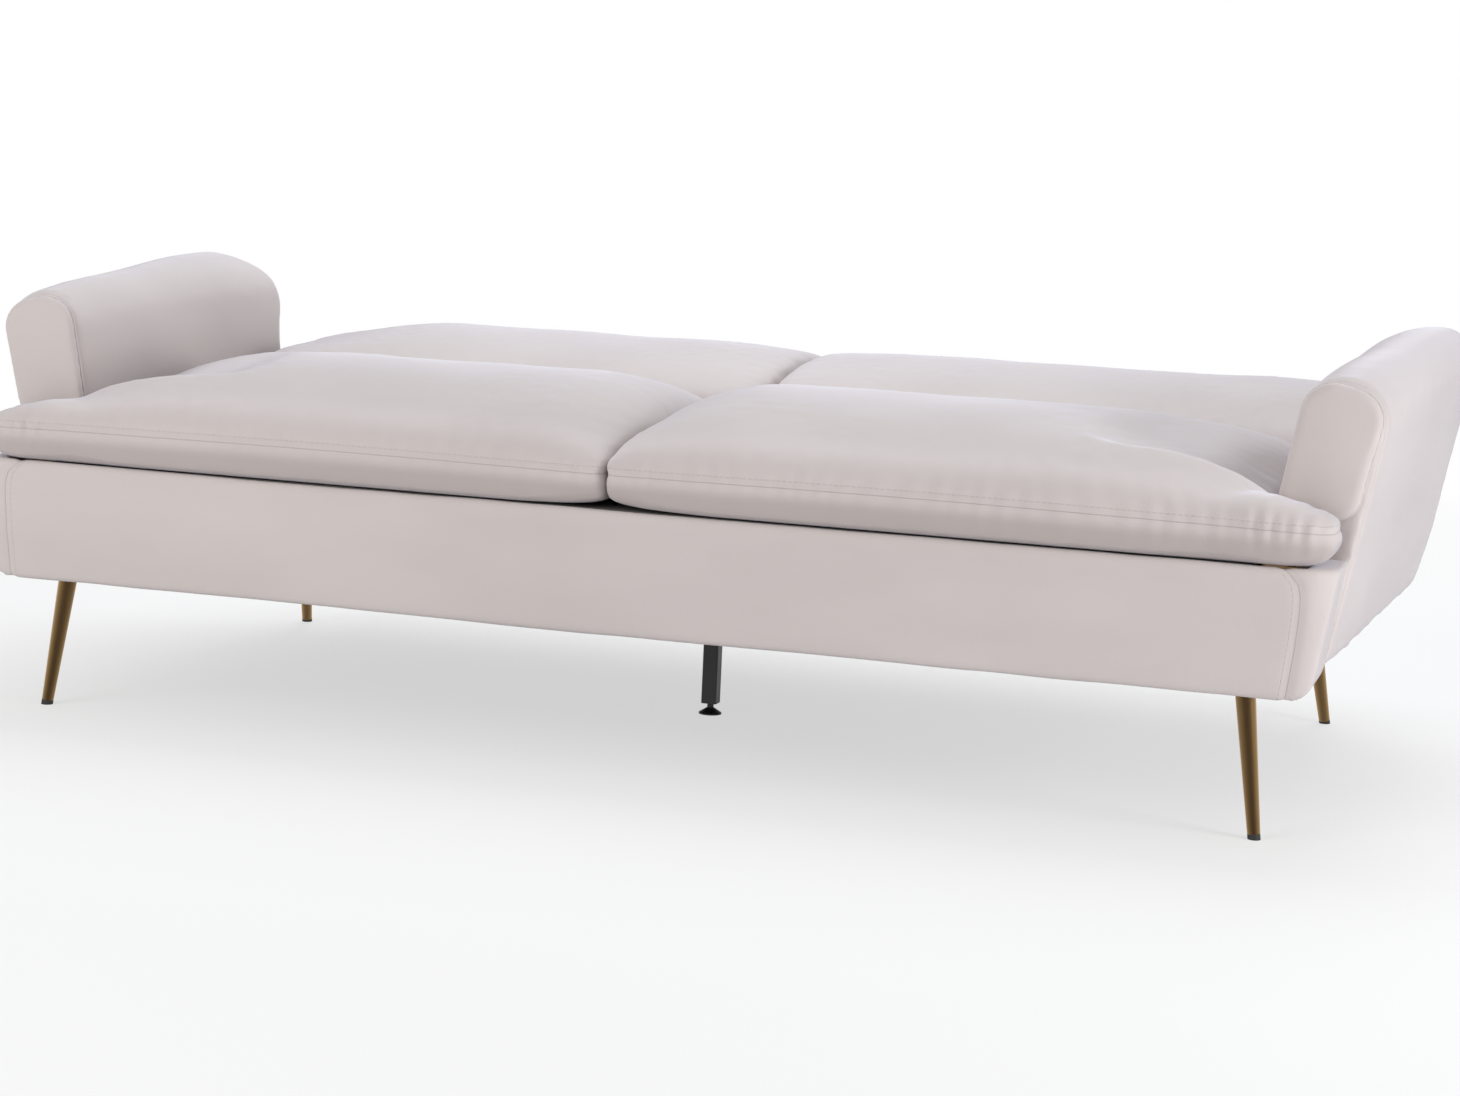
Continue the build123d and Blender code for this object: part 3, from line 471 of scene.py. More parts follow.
class Sheet:
    """A material being made: its tree and its Principled shader."""

    def __init__(self, name: str) -> None:
        """Start an empty material.

        Args:
            name: The material's name.
        """
        self.material = bpy.data.materials.new(name)
        self.material.use_nodes = True
        self.tree = self.material.node_tree
        self.shader = next(node for node in self.tree.nodes if node.type == "BSDF_PRINCIPLED")

    def value(self, socket: str, amount: object) -> None:
        """Set one of the shader's own sockets."""
        self.shader.inputs[socket].default_value = amount

    def place(self, tree: Tree, **values: float) -> bpy.types.Node:
        """Put a node group into the material.

        Args:
            tree: The group.
            values: Its inputs, with underscores for spaces.

        Returns:
            The group's node.
        """
        node = self.tree.nodes.new("ShaderNodeGroup")
        node.node_tree = tree
        for label, amount in values.items():
            node.inputs[label.replace("_", " ")].default_value = amount
        return node

    def mix(self, share: Socket, first: object, second: object) -> Socket:
        """Mix two colours by a share.

        Args:
            share: The socket that gives the share.
            first: The colour or socket at 0.
            second: The colour or socket at 1.

        Returns:
            The mixed colour.
        """
        node = self.tree.nodes.new("ShaderNodeMix")
        node.data_type = "RGBA"
        self.tree.links.new(share, node.inputs["Factor"])
        for number, value in ((6, first), (7, second)):
            feed(self.tree, value if isinstance(value, Socket) else (*value, 1), node.inputs[number])
        return node.outputs[2]

    def spread(self, share: Socket, low: float, high: float) -> Socket:
        """Return a share turned into a range of values.

        Args:
            share: The socket that gives the share.
            low: The value at 0.
            high: The value at 1.

        Returns:
            The value's socket.
        """
        scaled = math_node(self.tree, "MULTIPLY", share, high - low)
        return math_node(self.tree, "ADD", scaled, low)

    def raised(self, height: Socket, strength: float, distance: float, after: object = None) -> Socket:
        """Add a Bump node.

        Args:
            height: The height.
            strength: How strong it is.
            distance: How far it reaches in metres.
            after: A normal from another Bump node, or nothing.

        Returns:
            The normal's socket.
        """
        node = self.tree.nodes.new("ShaderNodeBump")
        node.inputs["Strength"].default_value = strength
        node.inputs["Distance"].default_value = distance
        self.tree.links.new(height, node.inputs["Height"])
        if after is not None:
            self.tree.links.new(after, node.inputs["Normal"])
        return node.outputs["Normal"]

    def join(self, output: Socket, socket: str) -> None:
        """Link a socket to the shader."""
        self.tree.links.new(output, self.shader.inputs[socket])


# Finishes


@dataclass(frozen=True)
class Velvet:
    """Short-pile velvet with stroking marks, a soft sheen, painted shade where a piece asks for it and,
    where asked, sewn seams.
    """

    name: str = "velvet"
    light: Colour = linear(214, 205, 203)
    dark: Colour = linear(206, 197, 195)
    sheen: Colour = linear(236, 238, 255)
    thread: Colour = linear(199, 189, 186)
    # painted shade: the darker colour laid along the seam's groove
    crease: Colour = linear(187, 176, 173)
    # painted shade: the darker colour laid into hollows, on the seat's brow, below seams and on the arms'
    # inner faces
    shade: Colour = linear(178, 168, 165)
    sewn: bool = False

    def make(self, effects: SharedEffects) -> Material:
        """Build the material.

        Args:
            effects: The shared node groups.

        Returns:
            The material.
        """
        sheet = Sheet(self.name)
        pile = sheet.place(effects.pile)
        colour = sheet.mix(pile.outputs["Stroke"], self.dark, self.light)
        normal = sheet.raised(pile.outputs["Height"], 0.35, 0.0006)
        # painted shade: mixes in the darker colour as far as the attribute on the piece asks
        colour = sheet.mix(attribute_value(sheet.tree, "painted_shade"), colour, self.shade)
        if self.sewn:
            seam = sheet.place(effects.stitch)
            colour = sheet.mix(seam.outputs["Thread"], colour, self.thread)
            # painted shade: the crease colour darkens the seam's groove
            colour = sheet.mix(seam.outputs["Crease"], colour, self.crease)
            low = math_node(sheet.tree, "MAXIMUM", seam.outputs["Crease"], seam.outputs["Thread"])
            normal = sheet.raised(math_node(sheet.tree, "SUBTRACT", 1.0, low), 0.5, 0.001, normal)
        sheet.join(colour, "Base Color")
        sheet.join(sheet.spread(pile.outputs["Stroke"], 0.86, 0.74), "Roughness")
        sheet.join(normal, "Normal")
        sheet.value("Specular IOR Level", 0.18)
        sheet.value("Sheen Weight", 0.6)
        sheet.value("Sheen Roughness", 0.32)
        sheet.value("Sheen Tint", (*self.sheen, 1))
        return sheet.material


@dataclass(frozen=True)
class Metal:
    """A metal with smudges and scuffs and, where asked, a painted highlight: a lighter colour where the
    surface turns away from the camera.
    """

    name: str
    colour: Colour
    worn: Colour
    rough: Span
    scale: float = 30.0
    painted_rim_highlight: Colour | None = None

    def make(self, effects: SharedEffects) -> Material:
        """Build the material.

        Args:
            effects: The shared node groups.

        Returns:
            The material.
        """
        sheet = Sheet(self.name)
        wear = sheet.place(effects.wear, Scale=self.scale, Amount=0.6)
        colour = sheet.mix(wear.outputs["Scuff"], self.colour, self.worn)
        if self.painted_rim_highlight:
            # painted highlight: the colour turns lighter where the surface is seen at a grazing angle
            facing = sheet.tree.nodes.new("ShaderNodeLayerWeight")
            facing.inputs["Blend"].default_value = 0.55
            colour = sheet.mix(facing.outputs["Facing"], colour, self.painted_rim_highlight)
        sheet.join(colour, "Base Color")
        sheet.join(sheet.spread(wear.outputs["Smudge"], *self.rough), "Roughness")
        sheet.join(sheet.raised(wear.outputs["Scuff"], 0.12, 0.0003), "Normal")
        sheet.value("Metallic", 1.0)
        return sheet.material


@dataclass(frozen=True)
class Moulded:
    """A matte plastic or powder coat with a fine texture."""

    name: str
    colour: Colour
    worn: Colour
    rough: Span = (0.45, 0.62)

    def make(self, effects: SharedEffects) -> Material:
        """Build the material.

        Args:
            effects: The shared node groups.

        Returns:
            The material.
        """
        sheet = Sheet(self.name)
        wear = sheet.place(effects.wear, Scale=45.0, Amount=0.35)
        fine = noise_node(sheet.tree, stretched(sheet.tree, 1, 1, 1), 900.0, 1)
        sheet.join(sheet.mix(wear.outputs["Scuff"], self.colour, self.worn), "Base Color")
        sheet.join(sheet.spread(wear.outputs["Smudge"], *self.rough), "Roughness")
        sheet.join(sheet.raised(fine, 0.25, 0.0002), "Normal")
        return sheet.material


@dataclass(frozen=True)
class Timber:
    """Planed softwood or raw board, with rings and fibres."""

    name: str
    pale: Colour
    ring: Colour
    scale: float = 26.0
    fibre_shade: float = 0.82

    def make(self, effects: SharedEffects) -> Material:
        """Build the material.

        Args:
            effects: The shared node groups.

        Returns:
            The material.
        """
        sheet = Sheet(self.name)
        grain = sheet.place(effects.grain, Ring_Scale=self.scale)
        darker = tuple(part * self.fibre_shade for part in self.pale)
        fibre_colour = sheet.mix(grain.outputs["Fibre"], self.pale, darker)
        share = sheet.spread(grain.outputs["Ring"], 0.0, 0.7)
        sheet.join(sheet.mix(share, fibre_colour, self.ring), "Base Color")
        sheet.join(sheet.spread(grain.outputs["Fibre"], 0.55, 0.8), "Roughness")
        sheet.join(sheet.raised(grain.outputs["Fibre"], 0.3, 0.0004), "Normal")
        return sheet.material


@dataclass(frozen=True)
class Matted:
    """Felt or thin non-woven cloth, with tangled fibres."""

    name: str
    light: Colour
    dark: Colour
    scale: float = 260.0

    def make(self, effects: SharedEffects) -> Material:
        """Build the material.

        Args:
            effects: The shared node groups.

        Returns:
            The material.
        """
        sheet = Sheet(self.name)
        pile = sheet.place(effects.pile, Cloud_Scale=14.0, Fibre_Scale=self.scale)
        sheet.join(sheet.mix(pile.outputs["Height"], self.dark, self.light), "Base Color")
        sheet.join(sheet.spread(pile.outputs["Stroke"], 0.82, 0.95), "Roughness")
        sheet.join(sheet.raised(pile.outputs["Height"], 0.6, 0.001), "Normal")
        return sheet.material


class Wardrobe:
    """Every finish of the sofa, made once and handed out by the record's slot names."""

    def __init__(self) -> None:
        """Build the shared effects and all the materials."""
        effects = SharedEffects()
        finishes = (
            Velvet(),
            Velvet(name="velvet_sewn", sewn=True),
            Timber("pine", linear(222, 190, 142), linear(186, 142, 92)),
            Timber("board", linear(196, 166, 128), linear(168, 134, 98), 60.0),
            Matted("felt", linear(126, 124, 120), linear(84, 82, 80)),
            Matted("dust_cloth", linear(46, 46, 47), linear(24, 24, 25), 520.0),
            Metal("spring_steel", linear(128, 130, 134), linear(92, 84, 76), (0.3, 0.5)),
            Metal("zinc_steel", linear(196, 198, 200), linear(150, 150, 150), (0.25, 0.45)),
            Moulded("black_steel", linear(26, 26, 27), linear(60, 60, 60), (0.32, 0.5)),
            # the brass's lighter colour at grazing angles is a painted highlight
            Metal(
                "antique_brass", linear(70, 54, 35), linear(46, 35, 23), (0.14, 0.26), scale=22.0,
                painted_rim_highlight=linear(196, 160, 108),
            ),
            Moulded("black_plastic", linear(24, 24, 25), linear(52, 52, 52)),
        )
        self.materials = {finish.name: finish.make(effects) for finish in finishes}

    def dress_nodes(self) -> None:
        """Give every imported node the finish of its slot."""
        for row in frame["record"]["subparts"]:
            node = frame["nodes"][row["node"]]
            node.data.materials.clear()
            node.data.materials.append(self.materials[row["material_slot"]])

    def dress(self, piece: Piece, sewn: bool = False) -> None:
        """Give a new cover the velvet, with or without its sewn seams.

        Args:
            piece: The cover.
            sewn: Whether it carries the seam attributes.
        """
        piece.data.materials.clear()
        piece.data.materials.append(self.materials["velvet_sewn" if sewn else "velvet"])
        smooth_shade(piece)


# Padded pieces


@dataclass
class Inflation:
    """One run of the cloth simulation that fills a cover with its padding."""

    pressure: float = 4.0
    frames: int = 20
    cap: float = 0.024
    slack: float = 0.02
    stiffness: float = 12.0
    bending: float = 0.6
    mass: float = 0.3
    quality: int = 5
    hold_levels: int = 4

    def run(self, piece: Piece, pinned: FloatArray) -> None:
        """Blow a closed cover up, with some of its vertices held.

        Args:
            piece: The cover, already remeshed.
            pinned: How firmly each vertex is held, from 0 to 1.
        """
        before = points_of(piece)
        holds = piece.vertex_groups.new(name="held")
        for number in range(1, self.hold_levels + 1):
            level = number / self.hold_levels
            chosen = np.nonzero((pinned > level - 1 / self.hold_levels) & (pinned <= level))[0]
            if len(chosen):
                holds.add([int(index) for index in chosen], level, "REPLACE")
        cloth = piece.modifiers.new("cover", "CLOTH")
        settings = cloth.settings
        settings.quality = self.quality
        settings.mass = self.mass
        settings.use_pressure = True
        settings.uniform_pressure_force = self.pressure
        settings.tension_stiffness = self.stiffness
        settings.compression_stiffness = self.stiffness
        settings.shear_stiffness = self.stiffness / 2
        settings.bending_stiffness = self.bending
        settings.shrink_min = -self.slack
        settings.vertex_group_mass = "held"
        settings.effector_weights.gravity = 0
        cloth.collision_settings.use_collision = False
        cloth.point_cache.frame_start = 1
        cloth.point_cache.frame_end = self.frames
        scene = bpy.context.scene
        for number in range(1, self.frames + 1):
            scene.frame_set(number)
        settle(piece)
        scene.frame_set(1)
        piece.vertex_groups.clear()
        moved = points_of(piece) - before
        length = np.linalg.norm(moved, axis=1, keepdims=True)
        capped = self.cap * np.tanh(length / self.cap) / np.maximum(length, 1e-9)
        share = np.where(length > 1e-9, capped, 0)
        set_points(piece, before + moved * share)


@dataclass
class ArmPlanes:
    """Where the arm's inner face stands, which flares outwards to the rear."""

    corner_x: float = 0.880
    corner_y: float = -0.436
    flare: float = math.radians(3.45)

    def local(self, points: FloatArray, side: Side) -> tuple[FloatArray, FloatArray]:
        """Return each point's X and Y from the inner face's front corner, X outwards on both sides."""
        return points[:, 0] * side.value - self.corner_x, points[:, 1] - self.corner_y

    def outside(self, points: FloatArray, side: Side) -> FloatArray:
        """Return how far each point is beyond the arm's inner face, positive inside the arm."""
        x, y = self.local(points, side)
        return x * math.cos(self.flare) - y * math.sin(self.flare)

    def along(self, points: FloatArray, side: Side) -> FloatArray:
        """Return how far each point is along the arm from its front."""
        x, y = self.local(points, side)
        return x * math.sin(self.flare) + y * math.cos(self.flare)


@dataclass
class SeatCushion:
    """One seat cushion, with its wing in front of the arm and its sewn front seam."""

    side: Side
    seed: float
    voxel_size: float = 0.0095
    seam_height: float = 0.4165
    seam_bow: float = 0.003
    seam_middle: float = 0.42
    floor_height: float = 0.3673
    rear_limit: float = 0.044
    wing_rear: float = -0.462
    wing_room: float = 0.004
    wing_drop: float = 0.010
    hollow_places: tuple[float, ...] = (-0.46, -0.419, -0.307, -0.225, -0.147, -0.046, 0.04)
    hollow_heights: tuple[float, ...] = (0.433, 0.438, 0.446, 0.456, 0.462, 0.466, 0.468)
    hollow_rise: float = 0.105
    hollow_width: float = 0.115
    hollow_softness: float = 0.00008
    front_rise: float = 0.07
    middle_rise: float = 0.1
    fill_room: float = 0.010
    split_gap: float = 0.0006
    split_dip: float = 0.012
    split_lean: float = 0.010
    lean_zone: Span = (0.40, 0.54)
    tuck: float = 0.009
    tuck_height: float = 0.049
    lip_drop: float = 0.008
    planes: ArmPlanes = field(default_factory=ArmPlanes)
    inflation: Inflation = field(default_factory=Inflation)

    def hollow(self, points: FloatArray, lower: float) -> None:
        """Keep the top under a ceiling that slopes down to the arm and is lowest beside it.

        Args:
            points: Rows of X, Y and Z, changed in place.
            lower: How far under the ceiling the top stays.
        """
        _, y, z = points.T
        away = -self.planes.outside(points, self.side)
        beside = np.interp(y, self.hollow_places, self.hollow_heights)
        distance = np.maximum(away, 0)
        rise = self.hollow_rise * distance / (distance + self.hollow_width)
        front = self.front_rise * (1 - fade(y, -0.498, -0.428))
        over = z - (beside + rise + front + self.middle_rise * fade(away, 0.18, 0.50) - lower)
        z -= 0.5 * (over + np.sqrt(over * over + self.hollow_softness)) * fade(z, 0.41, 0.45)

    def shape(self, piece: Piece) -> None:
        """Lower the cover beside the arm and round it towards the split before it is filled.

        Args:
            piece: The remeshed cover.
        """
        points = points_of(piece)
        x, y, z = points.T
        across = x * self.side.value
        top = fade(z, 0.41, 0.46)
        z -= self.wing_drop * top * fade(across, 0.64, 0.84) * (1 - fade(y, -0.490, -0.435))
        self.hollow(points, self.fill_room)
        z -= self.split_dip * top * bump(across, 0.05)
        below = np.clip((self.seam_height - z) / self.tuck_height, 0, 1) ** 1.5
        points[:, :2] -= normals_of(piece)[:, :2] * (self.tuck * below * fade(-y, 0.48, 0.54))[:, None]
        band = fade(z, 0.366, 0.378) * (1 - fade(z, 0.455, 0.50))
        x *= 1 - band * (1 - fade(across, 0.0, 0.055))
        x -= self.split_lean * bump(across, 0.14) * fade(-y, *self.lean_zone)
        set_points(piece, points)

    def seam(self, points: FloatArray) -> FloatArray:
        """Return the height of each point above the seam, which bows up in its middle."""
        place = (np.abs(points[:, 0]) - self.seam_middle) / self.seam_middle
        return points[:, 2] - self.seam_height - self.seam_bow * np.cos(place * math.pi / 2)

    def hold(self, points: FloatArray) -> FloatArray:
        """Return how firmly each vertex is held while the cushion is filled.

        Args:
            points: Rows of X, Y and Z.

        Returns:
            Shares from 0 to 1.
        """
        on_seam = bump(np.abs(self.seam(points)), self.voxel_size * 0.9)
        on_base = 1 - fade(points[:, 2], self.floor_height + 0.002, self.floor_height + 0.012)
        return np.clip(np.maximum(on_seam, on_base), 0, 1)

    def painted_shade(self, points: FloatArray) -> FloatArray:
        """Return how much painted shade darkens the cover in the hollow, on the brow and below the seam.

        Args:
            points: Rows of X, Y and Z.

        Returns:
            A share of the darker colour for each point.
        """
        y = points[:, 1]
        away = -self.planes.outside(points, self.side)
        deep = (1 - fade(away, 0.02, 0.13)) * fade(y, -0.48, -0.43) * (1 - fade(y, -0.30, -0.05))
        brow = 0.22 * fade(-y, 0.26, 0.46) * (1 - 0.8 * fade(-y, 0.50, 0.56))
        below = 0.70 * fade(-self.seam(points), 0.0, 0.024)
        return np.maximum(np.maximum(below, brow), 1.5 * deep)

    def crease(self, piece: Piece) -> None:
        """Sink the seam and gather the cloth in small puckers near its ends.

        Args:
            piece: The filled cover.
        """
        points = points_of(piece)
        gap = self.seam(points)
        across = np.abs(points[:, 0])
        soft = wander(points, 9.0, self.seed)
        at_ends = bump(across - 0.905, 0.055) + 0.7 * bump(across - 0.035, 0.04)
        pucker = 0.0022 * ripples(across, 0.021, 3 * soft) * at_ends * bump(gap - 0.004, 0.02)
        long_pucker = 0.0008 * ripples(across, 0.034, 5 * soft) * bump(gap - 0.006, 0.03)
        wave = 0.0022 * soft * fade(points[:, 2], 0.40, 0.45)
        shift = pucker + long_pucker + wave - 0.0026 * bump(gap, 0.007)
        set_points(piece, points + normals_of(piece) * shift[:, None])
        write_seam(piece, gap, across - points[:, 1] * 0.9)
        # painted shade: how much darker the cover is painted in the hollow, on the brow and below the seam
        write_attribute(piece, "painted_shade", self.painted_shade(points))

    def fit(self, piece: Piece) -> None:
        """Keep the cover clear of the split, the base, the arm and the back.

        Args:
            piece: The finished cover.
        """
        points = points_of(piece)
        x, y, z = points.T
        sign = self.side.value
        lean = self.split_lean * fade(-y, *self.lean_zone)
        x[:] = sign * np.maximum((x + lean) * sign, self.split_gap) - lean
        z[:] = np.maximum(z, self.floor_height)
        low = 1 - fade(z, self.floor_height, self.floor_height + 0.03)
        z -= self.lip_drop * low * fade(-y, 0.5755, 0.584)
        y[:] = np.minimum(y, self.rear_limit)
        beyond = self.planes.outside(points, self.side) + 0.001
        wing_face = self.wing_rear + self.wing_room
        behind = y > wing_face
        over = np.where(behind & (beyond > 0), beyond, 0)
        near_front = behind & (y < self.wing_rear + 0.03) & (over > 0.012)
        y[:] = np.where(near_front, wing_face, y)
        inward = np.where(near_front, 0, over)
        x -= sign * inward * math.cos(self.planes.flare)
        y += inward * math.sin(self.planes.flare)
        set_points(piece, points)

    def build(self, wardrobe: Wardrobe) -> Piece:
        """Build and dress the cushion.

        Args:
            wardrobe: The finishes.

        Returns:
            The finished piece.
        """
        node = f"seat_cushion_{self.side.suffix}"
        piece = merged_copy(node, f"seat_cover_{self.side.suffix}")
        voxel(piece, self.voxel_size)
        relax(piece, 10)
        self.shape(piece)
        relax(piece, 6)
        self.inflation.run(piece, self.hold(points_of(piece)))
        points = points_of(piece)
        self.hollow(points, 0.0)
        set_points(piece, points)
        relax(piece, 3)
        subdivide(piece)
        self.crease(piece)
        self.fit(piece)
        wardrobe.dress(piece, sewn=True)
        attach(piece, Body.BASE.value)
        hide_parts(node)
        return piece


@dataclass
class BackCushion:
    """One back cushion, which turns with the back."""

    side: Side
    seed: float
    end_drop: float
    voxel_size: float = 0.0095
    hinge_y: float = 0.150
    hinge_z: float = 0.400
    near_radius: float = 0.105
    seam_height: float = 0.452
    floor_height: float = 0.4183
    split_gap: float = 0.0006
    end_limit: float = 0.8795
    inflation: Inflation = field(default_factory=lambda: Inflation(cap=0.020))

    def hold(self, points: FloatArray) -> FloatArray:
        """Return how firmly each vertex is held while the cushion is filled.

        Args:
            points: Rows of X, Y and Z.

        Returns:
            Shares from 0 to 1.
        """
        on_seam = bump(points[:, 2] - self.seam_height, self.voxel_size * 0.9)
        on_base = 1 - fade(points[:, 2], self.floor_height + 0.002, self.floor_height + 0.012)
        return np.clip(np.maximum(0.8 * on_seam, on_base), 0, 1)

    def crease(self, piece: Piece) -> None:
        """Sink the seam round the cushion, let its top wander a little and lower its outer end.

        Args:
            piece: The filled cover.
        """
        points = points_of(piece)
        x, y, z = points.T
        gap = z - self.seam_height
        soft = wander(points, 7.0, self.seed)
        shift = 0.0025 * soft * fade(z, 0.45, 0.49)
        shift += 0.0008 * ripples(x + y, 0.03, 4 * soft) * bump(gap, 0.02) - 0.004 * bump(gap, 0.0075)
        points += normals_of(piece) * shift[:, None]
        at_end = fade(np.abs(x), 0.64, 0.86) * fade(y, 0.12, 0.30)
        at_end *= 1 - 0.6 * fade(y, 0.48, 0.58)
        z -= self.end_drop * at_end * fade(z, 0.46, 0.50)
        set_points(piece, points)
        write_seam(piece, gap, x + y)

    def fit(self, piece: Piece) -> None:
        """Keep the cover clear of the split, its frame, the arm and the seat behind which it turns.

        Args:
            piece: The finished cover.
        """
        points = points_of(piece)
        x, y, z = points.T
        sign = self.side.value
        x[:] = sign * np.clip(x * sign, self.split_gap, self.end_limit)
        z[:] = np.maximum(z, self.floor_height)
        reach = y - self.hinge_y
        rise = z - self.hinge_z
        radius = np.hypot(reach, rise)
        near = (reach < 0) & (radius > self.near_radius) & (rise < 0.09)
        scale = np.where(near, self.near_radius / np.maximum(radius, 1e-6), 1)
        y[:] = self.hinge_y + reach * scale
        z[:] = np.maximum(self.hinge_z + rise * scale, self.floor_height)
        set_points(piece, points)

    def build(self, wardrobe: Wardrobe) -> Piece:
        """Build and dress the cushion.

        Args:
            wardrobe: The finishes.

        Returns:
            The finished piece.
        """
        node = f"back_cushion_{self.side.suffix}"
        piece = merged_copy(node, f"back_cover_{self.side.suffix}")
        voxel(piece, self.voxel_size)
        relax(piece, 12)
        self.inflation.run(piece, self.hold(points_of(piece)))
        relax(piece, 2)
        subdivide(piece)
        self.crease(piece)
        self.fit(piece)
        wardrobe.dress(piece, sewn=True)
        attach(piece, Body.BACK.value)
        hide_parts(node)
        return piece


# Arms


@dataclass
class Arm:
    """One arm: its padded shell, its front panel and the piping between them."""

    side: Side
    shell_voxel: float = 0.0068
    panel_voxel: float = 0.0036
    width: float = 0.158
    front_height: float = 0.604
    panel_circles: tuple[tuple[float, float, float], ...] = (
        (0.430, 0.9185, 0.2785),
        (0.582, 0.9120, 0.2658),
        (0.241, 0.7380, 0.2152),
        (0.494, 0.7480, 0.2152),
    )
    circle_steps: int = 64
    seam_place: float = 0.010
    crown_drop: float = 0.007
    rear_rise: float = 0.012
    rear_shift: float = 0.012
    panel_crown: float = 0.004
    piping_radius: float = 0.0022
    piping_growth: float = -0.0016
    piping_forward: float = 0.0008
    planes: ArmPlanes = field(default_factory=ArmPlanes)

    def shell(self, wardrobe: Wardrobe) -> Piece:
        """Build the padded shell over the arm's frame, fuller at the rear.

        Args:
            wardrobe: The finishes.

        Returns:
            The shell.
        """
        node = f"arm_cover_{self.side.suffix}"
        piece = merged_copy(node, f"arm_shell_{self.side.suffix}")
        voxel(piece, self.shell_voxel)
        relax(piece, 9)
        points = points_of(piece)
        x, _, z = points.T
        along = self.planes.along(points, self.side)
        out = self.planes.outside(points, self.side)
        swell = 0.0015 * fade(z, 0.42, 0.58) * fade(along, 0.0, 0.12)
        swell += 0.0016 * wander(points, 6.0, 11.0 + self.side.value)
        seam = along - self.seam_place
        outer = fade(out, 0.03, 0.05)
        swell -= 0.0025 * bump(seam, 0.006) * outer
        points += normals_of(piece) * swell[:, None]
        crown = fade(z, 0.50, 0.62) * (1 - 0.7 * fade(out, 0.09, 0.14))
        z -= self.crown_drop * crown * fade(along, 0.08, 0.35)
        z += self.rear_rise * fade(along, 0.10, 0.66) * fade(out, 0.04, 0.14) * fade(z, 0.45, 0.62)
        inner = fade(along, 0.28, 0.66) * (1 - fade(out, 0.0, 0.10)) * fade(z, 0.37, 0.47)
        x -= self.side.value * self.rear_shift * inner
        set_points(piece, points)
        write_seam(piece, np.where(outer > 0.5, seam, 1.0), z)
        # painted shade: darker low down on the arm's inner face, beside the seat
        write_attribute(piece, "painted_shade", 0.5 * (1 - fade(out, 0.004, 0.03)) * (1 - fade(z, 0.47, 0.62)))
        wardrobe.dress(piece, sewn=True)
        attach(piece, Body.BASE.value)
        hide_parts(node)
        return piece

    def panel(self, wardrobe: Wardrobe) -> Piece:
        """Build the padded panel on the arm's front.

        Args:
            wardrobe: The finishes.

        Returns:
            The panel.
        """
        node = f"arm_front_panel_{self.side.suffix}"
        piece = merged_copy(node, f"arm_front_{self.side.suffix}")
        voxel(piece, self.panel_voxel)
        relax(piece, 8)
        points = points_of(piece)
        _, y, z = points.T
        along = self.planes.along(points, self.side)
        out = self.planes.outside(points, self.side)
        crown = bump(out - 0.070, 0.05) * bump(z - 0.51, 0.085)
        y -= self.panel_crown * crown * fade(-along, 0.006, 0.012)
        set_points(piece, points)
        wardrobe.dress(piece)
        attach(piece, Body.BASE.value)
        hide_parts(node)
        return piece

    def outline(self) -> list[tuple[float, float]]:
        """Return the rounded line that the piping follows round the front panel's circles.

        Returns:
            Points of width from the arm's inner face and height, in order.
        """
        cloud = []
        for width, rise, radius in self.panel_circles:
            reach = radius * self.width + self.piping_growth
            for step in range(self.circle_steps):
                turn = step * math.tau / self.circle_steps
                place = width * self.width + reach * math.cos(turn)
                cloud.append((place, rise * self.front_height + reach * math.sin(turn)))
        cloud.sort()

        def half(rows: list[tuple[float, float]]) -> list[tuple[float, float]]:
            """Return the outer points along one side of the cloud."""
            chain: list[tuple[float, float]] = []
            for x, y in rows:
                while len(chain) > 1:
                    (ax, ay), (bx, by) = chain[-2:]
                    if (bx - ax) * (y - ay) - (by - ay) * (x - ax) > 0:
                        break
                    chain.pop()
                chain.append((x, y))
            return chain[:-1]

        return half(cloud) + half(cloud[::-1])

    def piping(self, wardrobe: Wardrobe) -> Piece:
        """Build the thin piping round the front panel.

        Args:
            wardrobe: The finishes.

        Returns:
            The piping.
        """
        sine, cosine = math.sin(self.planes.flare), math.cos(self.planes.flare)
        curve = bpy.data.curves.new("piping_line", "CURVE")
        curve.dimensions = "3D"
        curve.bevel_depth = self.piping_radius
        curve.bevel_resolution = 3
        rows = self.outline()
        spline = curve.splines.new("POLY")
        spline.points.add(len(rows) - 1)
        for number, (width, height) in enumerate(rows):
            x = self.planes.corner_x + width * cosine - self.piping_forward * sine
            y = self.planes.corner_y - width * sine - self.piping_forward * cosine
            spline.points[number].co = (x * self.side.value, y, height, 1)
        spline.use_cyclic_u = True
        holder = bpy.data.objects.new("piping_holder", curve)
        bpy.context.scene.collection.objects.link(holder)
        bpy.context.view_layer.update()
        mesh = bpy.data.meshes.new_from_object(holder.evaluated_get(bpy.context.evaluated_depsgraph_get()))
        bpy.data.objects.remove(holder)
        work = bmesh.new()
        work.from_mesh(mesh)
        bpy.data.meshes.remove(mesh)
        bmesh.ops.remove_doubles(work, verts=work.verts, dist=1e-6)
        piece = mesh_of(f"arm_piping_{self.side.suffix}", work)
        wardrobe.dress(piece)
        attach(piece, Body.BASE.value)
        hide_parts("arm_welts")
        return piece

    def build(self, wardrobe: Wardrobe) -> list[Piece]:
        """Build the whole arm and return its pieces."""
        return [self.shell(wardrobe), self.panel(wardrobe), self.piping(wardrobe)]


# Base and back covers


